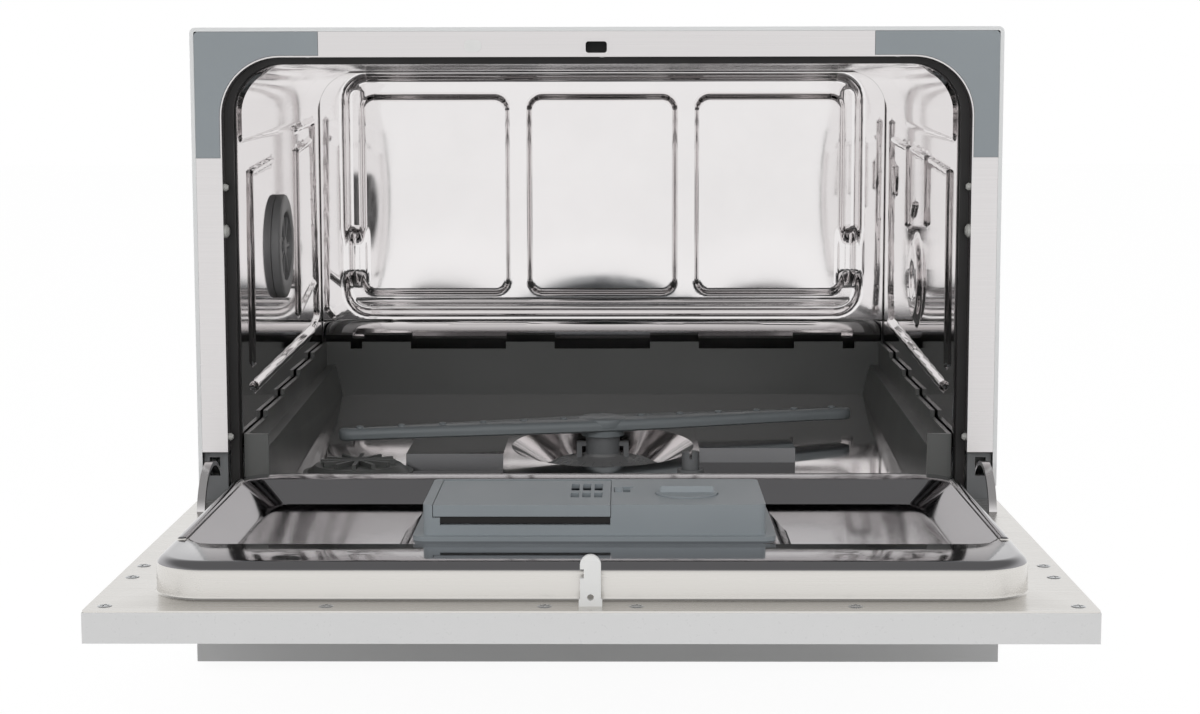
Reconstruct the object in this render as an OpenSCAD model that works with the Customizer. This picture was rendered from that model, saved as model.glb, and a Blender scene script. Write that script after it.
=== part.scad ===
// Countertop dishwasher with its door open.
// Y = 0 is the front plane of the cabinet while it is modelled, and the whole model is moved
// at the end so that the origin is the middle of its footprint on the worktop.

/* [Cabinet] */
// Width over the outer case
case_w = 550; // [500:1:600]
// Height from the worktop to the top of the case
case_h = 438; // [420:1:480]
// Depth from the front frame to the back of the case
case_d = 481; // [460:1:520]
// Sheet thickness of the case
case_t = 1; // [0.8:0.1:1.5]
// Bend radius of the case
case_r = 4; // [3:0.5:8]
// Width of the folded front edge of the case
rim_w = 2.7; // [2:0.1:4]
// Height of the feet
foot_h = 5; // [4:0.5:12]
// Diameter of a foot
foot_d = 34; // [24:1:44]
// Wall of the base tray and the kick plate
tray_t = 2.5; // [2:0.1:4]

/* [Front frame] */
// Width of each side of the frame, to the outside of the case
frame_side = 20.5; // [19:0.5:26]
// Height of the top of the frame, to the outside of the case
frame_top = 20; // [19:0.5:26]
// Corner radius of the opening
opening_r = 40; // [30:1:50]
// Height at which the side strips end
frame_end = 148; // [146:1:156]
// Length of a corner cover along the top
cover_w = 84.3; // [65:0.5:110]
// Length of a corner cover down the side
cover_h = 85.3; // [65:0.5:110]

/* [Door] */
// Thickness of the door at its edge
door_t = 18; // [16:0.5:24]
// Gap from the closed door to the front frame
door_gap = 1.5; // [1.2:0.1:3]
// Height of the hinge pins
pivot_z = 104.5; // [100:0.5:112]
// Hinge pins below the inner surface of the door
pivot_in = 11; // [9:0.5:12]
// Hinge pins to the lower edge of the door
pivot_edge = 10; // [8:0.5:12]
// Height of the pressed field of the liner
liner_h = 21; // [15:0.5:24]
// Sheet thickness of the liner
liner_t = 1; // [0.8:0.1:1.5]
// Height of the control fascia
fascia_h = 83; // [70:1:110]

/* [Tub] */
// Width of the gasket band at the sides
gasket_w = 6.5; // [5:0.5:9]
// Height of the gasket band at the top
gasket_h = 4.5; // [4:0.5:7]
// Sheet thickness of the tub
tub_t = 1; // [0.8:0.1:1.5]
// Height of the floor pan at the back
floor_back = 130; // [126:1:134]
// Fall of the floor pan towards the front, in millimetres per millimetre
floor_fall = 0.0735; // [0.05:0.0005:0.08]
// Top of the toothed rim at the back
rim_top = 176.4; // [170:0.2:190]
// Depth of the notches in the rim
rim_notch = 6.1; // [4:0.1:9]
// Number of steps in each side rim
rim_steps = 5; // [3:1:7]
// Width of a tooth at the back
tooth_w = 43; // [30:1:60]

/* [Spray arm] */
// Reach of each half of the arm
arm_r = 210; // [150:1:212]
// Angle at which the arm stands
arm_angle = 16.5; // [0:0.5:90]
// Underside of the blades
arm_z = 131.8; // [131:0.2:136]
// Thickness of a blade
arm_t = 7; // [5:0.5:9]
// Nozzles on one half
arm_jets = 6; // [3:1:8]
// Diameter of the post it turns on
post_d = 16; // [12:1:20]

/* [Dispenser] */
// Width of the housing
disp_w = 200; // [180:1:230]
// Depth of the housing
disp_d = 90; // [80:1:110]
// Height of its top over the inner surface of the door
disp_h = 39.5; // [34:0.5:44]
// Width of the flap
flap_w = 103.4; // [80:0.2:115]
// Thickness of the flap
flap_t = 6; // [5:0.5:8]
// Diameter of the rinse aid dial
dial_d = 37; // [28:1:42]

/* [Clearances] */
// Radial clearance of a pin in its bore
pin_fit = 0.05; // [0.02:0.01:0.1]
// Clearance round a piece that moves
run_gap = 0.4; // [0.3:0.05:1]
// Play between pieces that are fixed to each other
seat_gap = 0.2; // [0.1:0.05:0.5]

/* [Hidden] */
$fn = 64;
cut = 1;
half_w = case_w / 2;

// Hinge line and the open door.
pivot_y = -door_gap - pivot_in;
door_top_gap = 0.5;
door_len = case_h - door_top_gap - (pivot_z - pivot_edge);
door_rear = pivot_y + pivot_edge;
door_tip = door_rear - door_len;
flange_z = pivot_z + pivot_in;
face_z = flange_z - door_t;
row_shift = (case_d + door_tip) / 2;

// Opening, tub and floor.
open_hw = half_w - frame_side;
open_top = case_h - frame_top;
sheet_hw = half_w - rim_w;
frame_t = 1;
return_d = 11;
gasket_d = 13;
tub_hw = open_hw - gasket_w;
tub_top = open_top - gasket_h;
tub_r = opening_r - gasket_w;
tub_front = return_d + gasket_d;
tub_back_y = case_d - 30;
base_hw = tub_hw - seat_gap - tub_t;
base_t = 3;
base_front = pivot_y + pivot_in + liner_h + 2.5;
base_back = tub_back_y - 0.5;
basin_hw = 230;
shelf_hw = 236;
shelf_front = 141;
shelf_back = 156;
side_rim_front = 157.5;
lip_top = 120;
sump_x = 2;
sump_y = (base_front + base_back) / 2;
well_r = 52;
well_z = 66;
function floor_z(y) = floor_back - floor_fall * (base_back - y);

// Base tray.
tray_hw = half_w - case_t - seat_gap;
tray_z = foot_h;
tray_h = 55;
tray_back = case_d - 19;
tray_front = seat_gap;
plinth_top = pivot_z - pivot_edge - 4;
foot_x = half_w - 45;
foot_y = [40, case_d - 55];

// Hinges.
pin_r = 2.5;
ear_r = 5.5;
strap_r = 39;
strap_t = 3;
strap_w = 5.3;
strap_from = 10;
strap_to = 133;
hinge_x = half_w - 12.8;
plate_t = 2.5;
ear_x = hinge_x - 1.3 - 3;

// Liner field and recess.
liner_hw = tub_hw - 3;
liner_tip = pivot_y - (tub_top - 2.5 - pivot_z);
liner_rear = pivot_y;
liner_r = tub_r - 2.5;
liner_edge = 7;
field_z = flange_z + liner_h;
recess_hw = liner_hw - 10;
recess_front = liner_tip + 55;
recess_rear = liner_rear - 30;
recess_drop = 15;
recess_slope = 14;
recess_side = 19;
recess_r = 20;
recess_z = field_z - recess_drop;

// Dispenser on the door.
disp_x = 1;
disp_y = recess_front + 67;
disp_top = flange_z + disp_h;
disp_skirt = 6;
land_z = field_z - 2;
land_slope = 11;
flap_x0 = disp_x - disp_w / 2 + 6;
flap_hinge_y = disp_y + disp_d / 2 - 6;
flap_pin_r = 1.5;
flap_pin_z = disp_top - 3.8;
cup_depth = 27;
dial_x = 56;
dial_y = disp_y - 6;
latch_x = flap_x0 + flap_w + 2.4;

// Latch.
latch_z = open_top + 6.5;
latch_reach = pivot_y - (latch_z - pivot_z);
slot_w = 14.4;
slot_h = 7.7;
hook_t = 3;
hook_h = 28.5;

// Float.
float_x = 69;
float_y = 150;
float_d = 13;
float_top = 125;

// Salt container.
salt_x = -180;
salt_y = 130;
salt_d = 82;
salt_bore = salt_d - 8;

// Vent.
vent_y = 205;
vent_z = 277;
vent_d = 80;
vent_bore = 24;

// Ribs and lands pressed into the side walls.
rib_w = 6;
rib_h = 2.2;
rib_slope = 0.07;
rib_low = 202;
boss_y = 228;
boss_z = 249;
boss_r = 37;
land_h = 1.4;
wall_low = 150;

// Connections at the back.
inlet_x = half_w - 75;
drain_x = half_w - 125;
power_in_x = 85 - half_w;
port_z = 32;

// Dish round the hub and the two level blocks pressed into the floor pan.
dish_z = 100;
dish_r = 48;
dish_rise = 0.6;
dish_h = 34;
block_z = 121.5;
block_w = 74;
block_x = 112;
block_left_y = 159;
block_right_y = 187;

// Controls, measured on the open door.
button_y = door_tip + 52;
button_travel = 1.2;
button_proud = 0.8;
power_x = 70 - half_w;
key_x = [half_w - 185, half_w - 135, half_w - 85];
window_x = 0;
board_from = window_x - 110;
board_to = key_x[2] + 25;
board_y = 19.5;
window_w = 90;
window_h = 24;

module in_row() translate([0, -row_shift, 0]) children();

// Extrudes an outline drawn in X and Z from y0 to y1.
module along_y(y0, y1) translate([0, y1, 0]) rotate([90, 0, 0]) linear_extrude(y1 - y0) children();

// Extrudes an outline drawn in Y and Z from x0 to x1.
module along_x(x0, x1)
    translate([x0, 0, 0]) rotate([90, 0, 90]) linear_extrude(x1 - x0) children();

module both_sides() {
    children();
    mirror([1, 0, 0]) children();
}

module slab(x0, x1, y0, y1, z0, z1) translate([x0, y0, z0]) cube([x1 - x0, y1 - y0, z1 - z0]);

// Arch outline: straight sides and two round upper corners.
module arch(hw, bottom, top, r) {
    translate([-hw, bottom]) square([2 * hw, top - r - bottom]);
    translate([r - hw, bottom]) square([2 * (hw - r), top - bottom]);
    for (s = [-1, 1]) translate([s * (hw - r), top - r]) circle(r);
}

module arch_band(hw, bottom, top, r, w) difference() {
    arch(hw, bottom, top, r);
    arch(hw - w, bottom - cut, top - w, max(r - w, 0.5));
}

// Rectangle with round corners about its own middle.
module round_rect(w, h, r) {
    square([w - 2 * r, h], center = true);
    square([w, h - 2 * r], center = true);
    for (sx = [-1, 1], sy = [-1, 1]) translate([sx * (w / 2 - r), sy * (h / 2 - r)]) circle(r);
}

module round_ring(w, h, r, t) difference() {
    round_rect(w, h, r);
    round_rect(w - 2 * t, h - 2 * t, r - t);
}

// Cabinet shell.

module base_tray() color("dimgray") in_row() {
    rear_wall_h = tray_h - 2;
    difference() {
        slab(-tray_hw, tray_hw, tray_front, tray_back, tray_z, tray_z + tray_h);
        slab(tray_t - tray_hw, tray_hw - tray_t, tray_front + tray_t, tray_back - tray_t,
            tray_z + tray_t, tray_z + tray_h + cut);
        for (x = [-foot_x, foot_x], y = foot_y)
            translate([x, y, tray_z - cut]) cylinder(r = 5 + seat_gap, h = tray_t + 2 * cut);
        for (x = [-150 : 30 : 150])
            slab(x - 4, x + 4, case_d - 150, case_d - 90, tray_z - cut, tray_z + tray_t + cut);
        rear_holes();
    }
    slab(-open_hw, open_hw, tray_front, tray_front + tray_t, tray_z + tray_h - cut, plinth_top - 2);
    for (x = [70 - basin_hw, basin_hw - 70], y = [62, base_back - 22]) difference() {
        slab(x - 15, x + 15, y - 12, y + 12, tray_z + tray_t - 0.5,
            floor_z(y - 12) - tub_t - base_t);
        slab(x - 12, x + 12, y - 9, y + 9, tray_z + tray_t, floor_z(y - 12));
    }
    both_sides() difference() {
        slab(hinge_x - 16, tray_hw - tray_t + 0.5, 30, 76, tray_z + tray_t - 0.5, tray_z + tray_h);
        slab(hinge_x - 13, tray_hw - tray_t - 3, 33, 73, tray_z + tray_t, tray_z + tray_h - 3);
    }
}

// Holes in the rear wall of the tray for the two hoses and the power inlet.
module rear_holes() {
    for (p = [[inlet_x, 13 + seat_gap], [drain_x, 10 + seat_gap]])
        translate([p[0], tray_back - tray_t - cut, port_z]) rotate([-90, 0, 0])
            cylinder(r = p[1], h = tray_t + 2 * cut);
    slab(power_in_x - 14, power_in_x + 14, tray_back - tray_t - cut, tray_back + cut,
        port_z - 10, port_z + 10);
}

module foot(x, y) color("black") in_row() translate([x, y, 0]) {
    cylinder(d = foot_d, h = foot_h - 1);
    translate([0, 0, foot_h - 1]) cylinder(d = foot_d - 6, h = 1);
    translate([0, 0, foot_h - cut]) cylinder(r = 5, h = 6 + cut);
    translate([0, 0, foot_h + tray_t + seat_gap]) cylinder(r1 = 6.5, r2 = 4.5, h = 2.5);
}
module foot_front_left() foot(-foot_x, foot_y[0]);
module foot_front_right() foot(foot_x, foot_y[0]);
module foot_rear_left() foot(-foot_x, foot_y[1]);
module foot_rear_right() foot(foot_x, foot_y[1]);

module kick_plate() color("darkgray") in_row() {
    front = -door_gap - door_t;
    difference() {
        slab(-half_w, half_w, front, 0, tray_z + 0.5, plinth_top);
        slab(tray_t - half_w, half_w - tray_t, front + tray_t, cut, tray_z - cut,
            plinth_top - tray_t);
    }
    for (x = [-200 : 80 : 200])
        slab(x - 1, x + 1, front + tray_t - 0.5, -1, tray_z + 4, plinth_top - tray_t + 0.5);
}

module outer_case() color("gainsboro") in_row() difference() {
    bottom = tray_z + 3;
    union() {
        along_y(0, case_d) arch_band(half_w, bottom, case_h, case_r, case_t);
        along_y(0, 1.2) arch_band(half_w, tray_z + tray_h + seat_gap, case_h, case_r, rim_w);
        along_y(case_d - 1, case_d) arch_band(half_w, tray_z + tray_h + 8, case_h, case_r, 10);
    }
    both_sides() slab(half_w - 10, half_w + cut, -cut, 6, plinth_top - 2, pivot_z + 20);
}

module rear_panel() color("silver") in_row() {
    low = tray_z + tray_h + 2;
    panel_y = case_d - 1 - case_t;
    difference() {
        along_y(panel_y - case_t, panel_y)
            arch(half_w - case_t - seat_gap, low, case_h - case_t - seat_gap, case_r);
        for (x = [-120 : 12 : 120]) translate([x, 0, case_h - 70]) along_y(panel_y - 5, case_d)
            round_rect(5, 40, 2.4);
        for (z = [low + 12, case_h - 12], x = [half_w - 14, 0, 14 - half_w])
            translate([x, case_d, z]) rotate([90, 0, 0]) cylinder(r = 1.8, h = 10);
    }
    along_y(panel_y - 12, panel_y - case_t + 0.1)
        translate([1 - tray_hw + 20, low]) square([2 * (tray_hw - 21), case_t]);
}

// Front frame and its trim.

module cover_area() {
    translate([sheet_hw - cover_w, open_top + frame_t]) square([cover_w, case_h]);
    translate([open_hw + frame_t, case_h - rim_w - cover_h]) square([40, cover_h]);
    difference() {
        translate([open_hw - opening_r, open_top - opening_r]) square(opening_r + 5);
        translate([open_hw - opening_r, open_top - opening_r]) circle(opening_r + frame_t);
    }
}

module front_frame() color("lightgray") in_row() {
    difference() {
        along_y(0, frame_t) difference() {
            arch(sheet_hw - 0.1, frame_end, case_h - rim_w - 0.1, case_r - 1);
            arch(open_hw, frame_end - cut, open_top, opening_r);
        }
        both_sides() along_y(-cut, frame_t + cut) cover_area();
        translate([0, 0, latch_z]) along_y(-cut, frame_t + cut)
            round_rect(slot_w + 4, slot_h + 2.6, 4);
        translate([-83.4, 0, latch_z + 1]) along_y(-cut, frame_t + cut) round_rect(8, 5, 2.4);
    }
    along_y(0, return_d) arch_band(open_hw + frame_t, frame_end, open_top + frame_t,
        opening_r + frame_t, frame_t);
}

module corner_cover() color("slategray") in_row() along_y(-0.5, 1.7) difference() {
    intersection() {
        translate([sheet_hw - cover_w + seat_gap, case_h - rim_w - cover_h + seat_gap])
            square([cover_w - 2 * seat_gap, cover_h - 2 * seat_gap]);
        arch(sheet_hw - seat_gap, 0, case_h - rim_w - seat_gap, case_r - 1);
    }
    arch(open_hw + frame_t + seat_gap, 0, open_top + frame_t + seat_gap,
        opening_r + frame_t + seat_gap);
}
module corner_cover_right() corner_cover();
module corner_cover_left() mirror([1, 0, 0]) corner_cover();

module latch_escutcheon() color("lightgray") in_row() translate([0, 0, latch_z]) {
    along_y(-0.5, 0) difference() {
        round_rect(slot_w + 6.4, slot_h + 4.3, 4.5);
        round_rect(slot_w, slot_h, 2);
    }
    along_y(-0.25, 4) difference() {
        round_rect(slot_w + 3.6, slot_h + 2.2, 3.8);
        round_rect(slot_w, slot_h, 2);
    }
}

module frame_plug() color("white") in_row() translate([-83.4, 0, latch_z + 1]) {
    along_y(-0.5, 0) round_rect(11.5, 8, 3.6);
    along_y(-0.25, 5) round_rect(7.6, 4.6, 2.2);
}

// Lock behind the slot, with the hook's way in.
module door_lock() color("dimgray") in_row() difference() {
    slab(-26, 26, 5, 52, open_top + frame_t + seat_gap, case_h - case_t - 1);
    translate([0, 0, latch_z]) along_y(0, 38) round_rect(slot_w - 0.4, slot_h + 1.4, 2);
}

// Tub.

// Point on the side walls at a share of the tub's depth.
function deep(share) = tub_front + share * (tub_back_y - tub_front);

// One sheet bent over the ceiling and both sides, with its front flange and its presswork.
module tub_wrap() color("lightsteelblue") in_row() {
    difference() {
        union() {
            along_y(tub_front, tub_back_y) arch_band(tub_hw + tub_t, wall_low, tub_top + tub_t,
                tub_r + tub_t, tub_t);
            along_y(tub_front, tub_front + tub_t) difference() {
                arch(open_hw + frame_t, frame_end, open_top + frame_t, opening_r + frame_t);
                arch(tub_hw, frame_end - cut, tub_top, tub_r);
            }
            left_wall() along_x(-0.2, rib_h) left_ribs(rib_w);
            right_wall() along_x(-0.2, rib_h) right_ribs(rib_w);
            left_wall() wall_land(0.75, 42);
            right_wall() wall_land(0.68, 44);
            translate([tub_hw + 0.2, boss_y, boss_z]) rotate([0, -90, 0])
                cylinder(r1 = boss_r, r2 = boss_r - 6, h = rib_h + 2.2);
        }
        left_wall() along_x(-tub_t - cut, rib_h - tub_t) left_ribs(rib_w - 2 * tub_t);
        right_wall() along_x(-tub_t - cut, rib_h - tub_t) right_ribs(rib_w - 2 * tub_t);
        translate([tub_hw + tub_t + 0.1, boss_y, boss_z]) rotate([0, -90, 0])
            cylinder(r1 = boss_r - 1, r2 = boss_r - 7, h = rib_h + 1.7);
        translate([-tub_hw - tub_t - cut, vent_y, vent_z]) rotate([0, 90, 0])
            cylinder(r = vent_bore, h = 3 * tub_t + cut);
    }
}

// Both take a shape drawn with X pointing into the tub from the wall's inner face.
module left_wall() translate([-tub_hw, 0, 0]) children();
module right_wall() translate([tub_hw, 0, 0]) mirror([1, 0, 0]) children();

// Straight bars through a list of Y, Z points, with joints a hair wider than the bars.
module ribbon(points, w) {
    for (p = points) translate(p) circle(d = w + 0.12);
    for (i = [0 : len(points) - 2]) {
        run = points[i + 1] - points[i];
        translate(points[i]) rotate(atan2(run[1], run[0])) translate([0, -w / 2])
            square([norm(run), w]);
    }
}

// Rib that runs forward from the back share, turns at the front share and goes down.
module hook_rib(front, back, drop, low, w) {
    high = tub_top - drop;
    ribbon([[deep(back), high + rib_slope * (deep(back) - deep(front))], [deep(front), high],
        [deep(front), low]], w);
}

// Rib down the back of a wall that turns forward over the moulded base.
module drip_rib(top_share, drop, w) ribbon([
    [deep(top_share), tub_top - drop], [deep(0.89), tub_top - drop + 4], [deep(0.89), rib_low + 16],
    [deep(0.85), rib_low - 5], [deep(0.12), rib_low - 17]], w);

module left_ribs(w) {
    hook_rib(0.115, 0.35, 75, rib_low, w);
    hook_rib(0.655, 0.835, 65, rib_low + 13, w);
    drip_rib(0.65, 47, w);
}

module right_ribs(w) {
    hook_rib(0.08, 0.3, 75, rib_low, w);
    hook_rib(0.35, 0.55, 69, vent_z + 18, w);
    hook_rib(0.615, 0.82, 64, vent_z + 12, w);
    drip_rib(0.5, 49, w);
}

// Land that follows the wall into the bend under the ceiling, with a round upper back corner.
module wall_land(back, drop) intersection() {
    translate([tub_hw, 0, 0]) along_y(deep(0.04), deep(back))
        arch_band(tub_hw + 0.2, tub_top - drop, tub_top + 0.2, tub_r + 0.2, land_h + 0.2);
    translate([0, deep(0.04), tub_top - drop]) along_x(-cut, tub_r - 8) difference() {
        square([deep(back) - deep(0.04), drop - 2.5]);
        translate([deep(back) - deep(0.04) - 16, drop - 2.5 - 16]) difference() {
            square(16 + cut);
            circle(16);
        }
    }
}

// Back panel: a large field pressed back, with three panels and two bosses standing out of it.
module tub_back() color("lightsteelblue") in_row() {
    field_w = 2 * tub_hw - 37.6;
    field_low = 198.4;
    field_high = tub_top - 1.5;
    mid = (field_low + field_high) / 2;
    press = 8;
    pitch = (field_w - 16.8) / 3;
    panel_w = pitch - 16.2;
    panel_h = field_high - field_low - 36.6;
    panel_mid = mid + 0.3;
    panel_out = 5;
    boss_x = field_w / 2 - 11.5;
    difference() {
        union() {
            difference() {
                along_y(tub_back_y, tub_back_y + tub_t)
                    arch(tub_hw + tub_t, wall_low, tub_top + tub_t, tub_r);
                translate([0, 0, mid]) along_y(tub_back_y - cut, tub_back_y + tub_t + cut)
                    round_rect(field_w, field_high - field_low, 24);
            }
            difference() {
                translate([0, 0, mid]) along_y(tub_back_y, tub_back_y + press)
                    round_rect(field_w + 2, field_high - field_low + 2, 25);
                translate([0, 0, mid]) along_y(tub_back_y - cut, tub_back_y + press - tub_t)
                    round_rect(field_w, field_high - field_low, 24);
                for (i = [-1, 0, 1]) translate([pitch * i, 0, panel_mid])
                    along_y(tub_back_y, tub_back_y + press + cut)
                        round_rect(panel_w - 2, panel_h - 2, 11);
            }
            for (i = [-1, 0, 1]) translate([pitch * i, 0, panel_mid]) difference() {
                along_y(tub_back_y + press - panel_out, tub_back_y + press)
                    round_rect(panel_w, panel_h, 12);
                along_y(tub_back_y + press - panel_out + tub_t, tub_back_y + press + cut)
                    round_rect(panel_w - 2, panel_h - 2, 11);
            }
            both_sides() channel_boss(boss_x, tub_back_y + press, 0);
        }
        both_sides() channel_boss(boss_x, tub_back_y + press, tub_t);
    }
}

// Half round boss at the foot of each side channel, with a sloping upper end.
module channel_boss(x, y, inset) difference() {
    translate([x, y, 230 + inset]) cylinder(r = 12 - inset, h = 46 - 2 * inset);
    slab(x - 13, x + 13, y + cut * inset, y + 13, 228, 280);
    translate([x, y - 12, 266 - inset]) rotate([40, 0, 0]) slab(-13, 13, -13, 25, 0, 20);
}

// Moulded lower half of the tub with its toothed rim, shelf, basin and sump well.
module tub_base() color("dimgray") in_row() {
    step_len = (base_back - base_front) / rim_steps;
    step_rise = (rim_top - side_rim_front) / (rim_steps - 1);
    bottom_drop = tub_t + base_t;
    both_sides() {
        along_x(base_hw - base_t, base_hw) polygon(concat(
            [[base_front, shelf_front - base_t], [base_back, shelf_back - base_t]],
            [for (i = [rim_steps - 1 : -1 : 0], e = [1, 0])
                [base_front + (i + e) * step_len, side_rim_front + i * step_rise]]));
        along_x(shelf_hw, base_hw) polygon([
            [base_front, shelf_front - base_t], [base_back, shelf_back - base_t],
            [base_back, shelf_back], [base_front, shelf_front]]);
        hull() {
            for (e = [[base_front, shelf_front, floor_z(base_front)],
                    [base_back, shelf_back, floor_z(base_back)]]) {
                translate([shelf_hw, min(e[0], base_back - 1), e[1] - base_t])
                    cube([base_t, 1, base_t]);
                translate([basin_hw, min(e[0], base_back - 1), e[2] - bottom_drop])
                    cube([base_t, 1, base_t]);
            }
        }
    }
    along_y(base_back - base_t, base_back) back_rim_outline();
    slab(-base_hw, base_hw, base_front, base_front + base_t, floor_z(base_front) - bottom_drop,
        lip_top);
    both_sides() slab(basin_hw, base_hw, base_front, base_front + base_t, lip_top - cut,
        side_rim_front);
    difference() {
        along_x(-basin_hw - 1, basin_hw + 1) polygon([
            [base_front, floor_z(base_front) - bottom_drop],
            [base_back, floor_z(base_back) - bottom_drop],
            [base_back, floor_z(base_back) - tub_t], [base_front, floor_z(base_front) - tub_t]]);
        dish(tub_t);
        translate([salt_x, salt_y, 0]) cylinder(d = salt_bore, h = 200);
        translate([float_x, float_y, 0]) cylinder(r = 6, h = 200);
    }
    difference() {
        dish(tub_t + base_t + 0.5);
        dish(tub_t);
        translate([sump_x, sump_y, 0]) cylinder(r = well_r - base_t, h = 200);
        over_floor(-tub_t - 0.5);
    }
    translate([sump_x, sump_y, well_z]) difference() {
        cylinder(r = well_r, h = dish_z - 3 - well_z);
        translate([0, 0, base_t]) cylinder(r = well_r - base_t, h = 100);
        translate([0, 0, -cut]) cylinder(r = 36, h = 10);
    }
}

// Back wall of the moulded base: teeth and notches along its top.
module back_rim_outline() {
    low = floor_z(base_back) - tub_t - base_t;
    translate([-base_hw, low]) square([2 * base_hw, rim_top - rim_notch - low]);
    for (x = [-190.9, -63.7, 63.7, 190.9])
        translate([x - tooth_w / 2, rim_top - rim_notch - cut]) square([tooth_w, rim_notch + cut]);
    for (s = [-1, 1]) translate([s * (base_hw - 12) - 12, rim_top - rim_notch - cut])
        square([24, rim_notch + cut]);
}

// Cone round the hub, lowered by a drop.
module dish(drop) translate([sump_x, sump_y, dish_z - drop])
    cylinder(r1 = dish_r, r2 = dish_r + dish_h / dish_rise, h = dish_h);

// All that lies above the floor pan, raised by a height.
module over_floor(rise) along_x(-half_w, half_w) polygon([
    [0, floor_z(0) + rise], [case_d, floor_z(case_d) + rise], [case_d, case_h], [0, case_h]]);

// Level block pressed into the sloping pan, from its front edge to where the pan reaches it.
module floor_block(x, y, inset) {
    y_end = base_back - (floor_back - block_z + inset) / floor_fall - 2 * inset;
    sunk = tub_t - 0.3 + 4 * inset;
    along_x(x - block_w / 2 + inset, x + block_w / 2 - inset) polygon([
        [y + inset, floor_z(y) - sunk], [y + 2 + inset, block_z - inset],
        [y_end, block_z - inset], [y_end, floor_z(y_end) - sunk]]);
}

// Bright floor pan that falls to the front, with the dish and the blocks.
module tub_floor() color("silver") in_row() difference() {
    y0 = base_front + base_t + seat_gap;
    y1 = base_back - base_t - seat_gap;
    under = tub_t - 0.02;
    union() {
        difference() {
            along_x(seat_gap - basin_hw, basin_hw - seat_gap) polygon([
                [y0, floor_z(y0) - under], [y1, floor_z(y1) - under],
                [y1, floor_z(y1)], [y0, floor_z(y0)]]);
            dish(0);
        }
        difference() {
            dish(under);
            dish(0);
            over_floor(-0.3);
        }
        floor_block(sump_x - block_x, block_left_y, 0);
        floor_block(sump_x + block_x, block_right_y, 0);
    }
    floor_block(sump_x - block_x, block_left_y, tub_t);
    floor_block(sump_x + block_x, block_right_y, tub_t);
    translate([sump_x, sump_y, 0]) cylinder(r = dish_r - 1, h = 200);
    translate([salt_x, salt_y, 0]) cylinder(d = salt_bore, h = 200);
    translate([float_x, float_y, 0]) cylinder(r = 6.5, h = 200);
}

// Black band in the channel between the front frame and the tub, with two sealing lips.
module door_gasket() color("black") in_row() {
    low = lip_top - 8;
    along_y(return_d + seat_gap, tub_front - seat_gap) difference() {
        arch(open_hw - 0.1, low, open_top - 0.1, opening_r);
        arch(open_hw - gasket_w + 3, low - cut, open_top - gasket_h + 2, opening_r - 3);
    }
    for (y = [return_d + seat_gap, tub_front - 4]) along_y(y, y + 3.6) difference() {
        arch(open_hw - 1, low, open_top - 1, opening_r - 1);
        arch(tub_hw + 0.3, low - cut, tub_top + 0.3, tub_r);
    }
}

module bottom_seal() color("black") in_row() difference() {
    slab(seat_gap - basin_hw, basin_hw - seat_gap, base_front - 1, base_front + base_t + 1,
        lip_top - 4, lip_top + 2);
    slab(-base_hw, base_hw, base_front - 0.05, base_front + base_t + 0.05, lip_top - 6, lip_top);
}

// Domed plugs on the inner edge of the frame.
module rack_studs() color("whitesmoke") in_row() both_sides()
    for (z = [300, 330, 158]) translate([open_hw, 5.5, z]) rotate([0, -90, 0]) {
        r = z == 300 ? 4.6 : 2.6;
        cylinder(r = r, h = 1.6);
        translate([0, 0, 1.5]) cylinder(r1 = r, r2 = r * 0.55, h = 1.6);
    }

// Sump, filter and spray hub.

module sump() color("dimgray") in_row() translate([sump_x, sump_y, 0]) {
    difference() {
        translate([0, 0, 22]) cylinder(r = well_r - 4, h = well_z - 22);
        translate([0, 0, 26]) cylinder(r = well_r - 8, h = well_z);
        translate([0, 0, 40]) rotate([0, 90, 0]) cylinder(r = 9, h = 80);
        translate([0, 0, 40]) rotate([0, -90, 0]) cylinder(r = 8, h = 80);
    }
    translate([well_r - 9, 0, 40]) rotate([0, 90, 0]) tube(12, 9, 22);
    translate([9 - well_r, 0, 40]) rotate([0, -90, 0]) tube(11, 8, 20);
}

module tube(ro, ri, h) difference() {
    cylinder(r = ro, h = h);
    translate([0, 0, -cut]) cylinder(r = ri, h = h + 2 * cut);
}

module filter() color("gray") in_row() translate([sump_x, sump_y, well_z + base_t]) {
    difference() {
        cylinder(r = 33, h = 28);
        translate([0, 0, 2]) cylinder(r = 31, h = 40);
        for (a = [0 : 20 : 359]) rotate(a) slab(28, 40, -1.4, 1.4, 6, 22);
    }
    difference() {
        translate([0, 0, 26]) cylinder(r = well_r - base_t - seat_gap, h = 2);
        translate([0, 0, 20]) cylinder(r = 32, h = 20);
        for (a = [0 : 12 : 359]) rotate(a) translate([41, 0, 20]) cylinder(r = 2, h = 20);
    }
}

module filter_lid() color("slategray") in_row()
    translate([sump_x, sump_y, well_z + base_t + 28]) rotate_extrude() polygon([
        [0, 0], [44, 0], [45, 1], [45, 3], [40, 5], [30, 8], [22, 10], [14, 11], [0, 11]]);

module spray_hub() color("slategray") in_row() translate([sump_x, sump_y, 0]) {
    base_z = well_z + base_t + 39;
    hub_top = arm_z - 7.3;
    translate([0, 0, base_z]) cylinder(r = 13.5, h = hub_top - base_z);
    translate([0, 0, hub_top - cut]) cylinder(d = post_d, h = 13);
    for (s = [-1, 1]) translate([s * 18.5, 0, 0])
        slab(-2, 2, -5, 5, base_z - 0.2, hub_top - 5);
    for (s = [-1, 1]) translate([s * 15.5, 0, 0]) slab(-3.5, 3.5, -4, 4, hub_top - 8, hub_top - 5);
}

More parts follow.
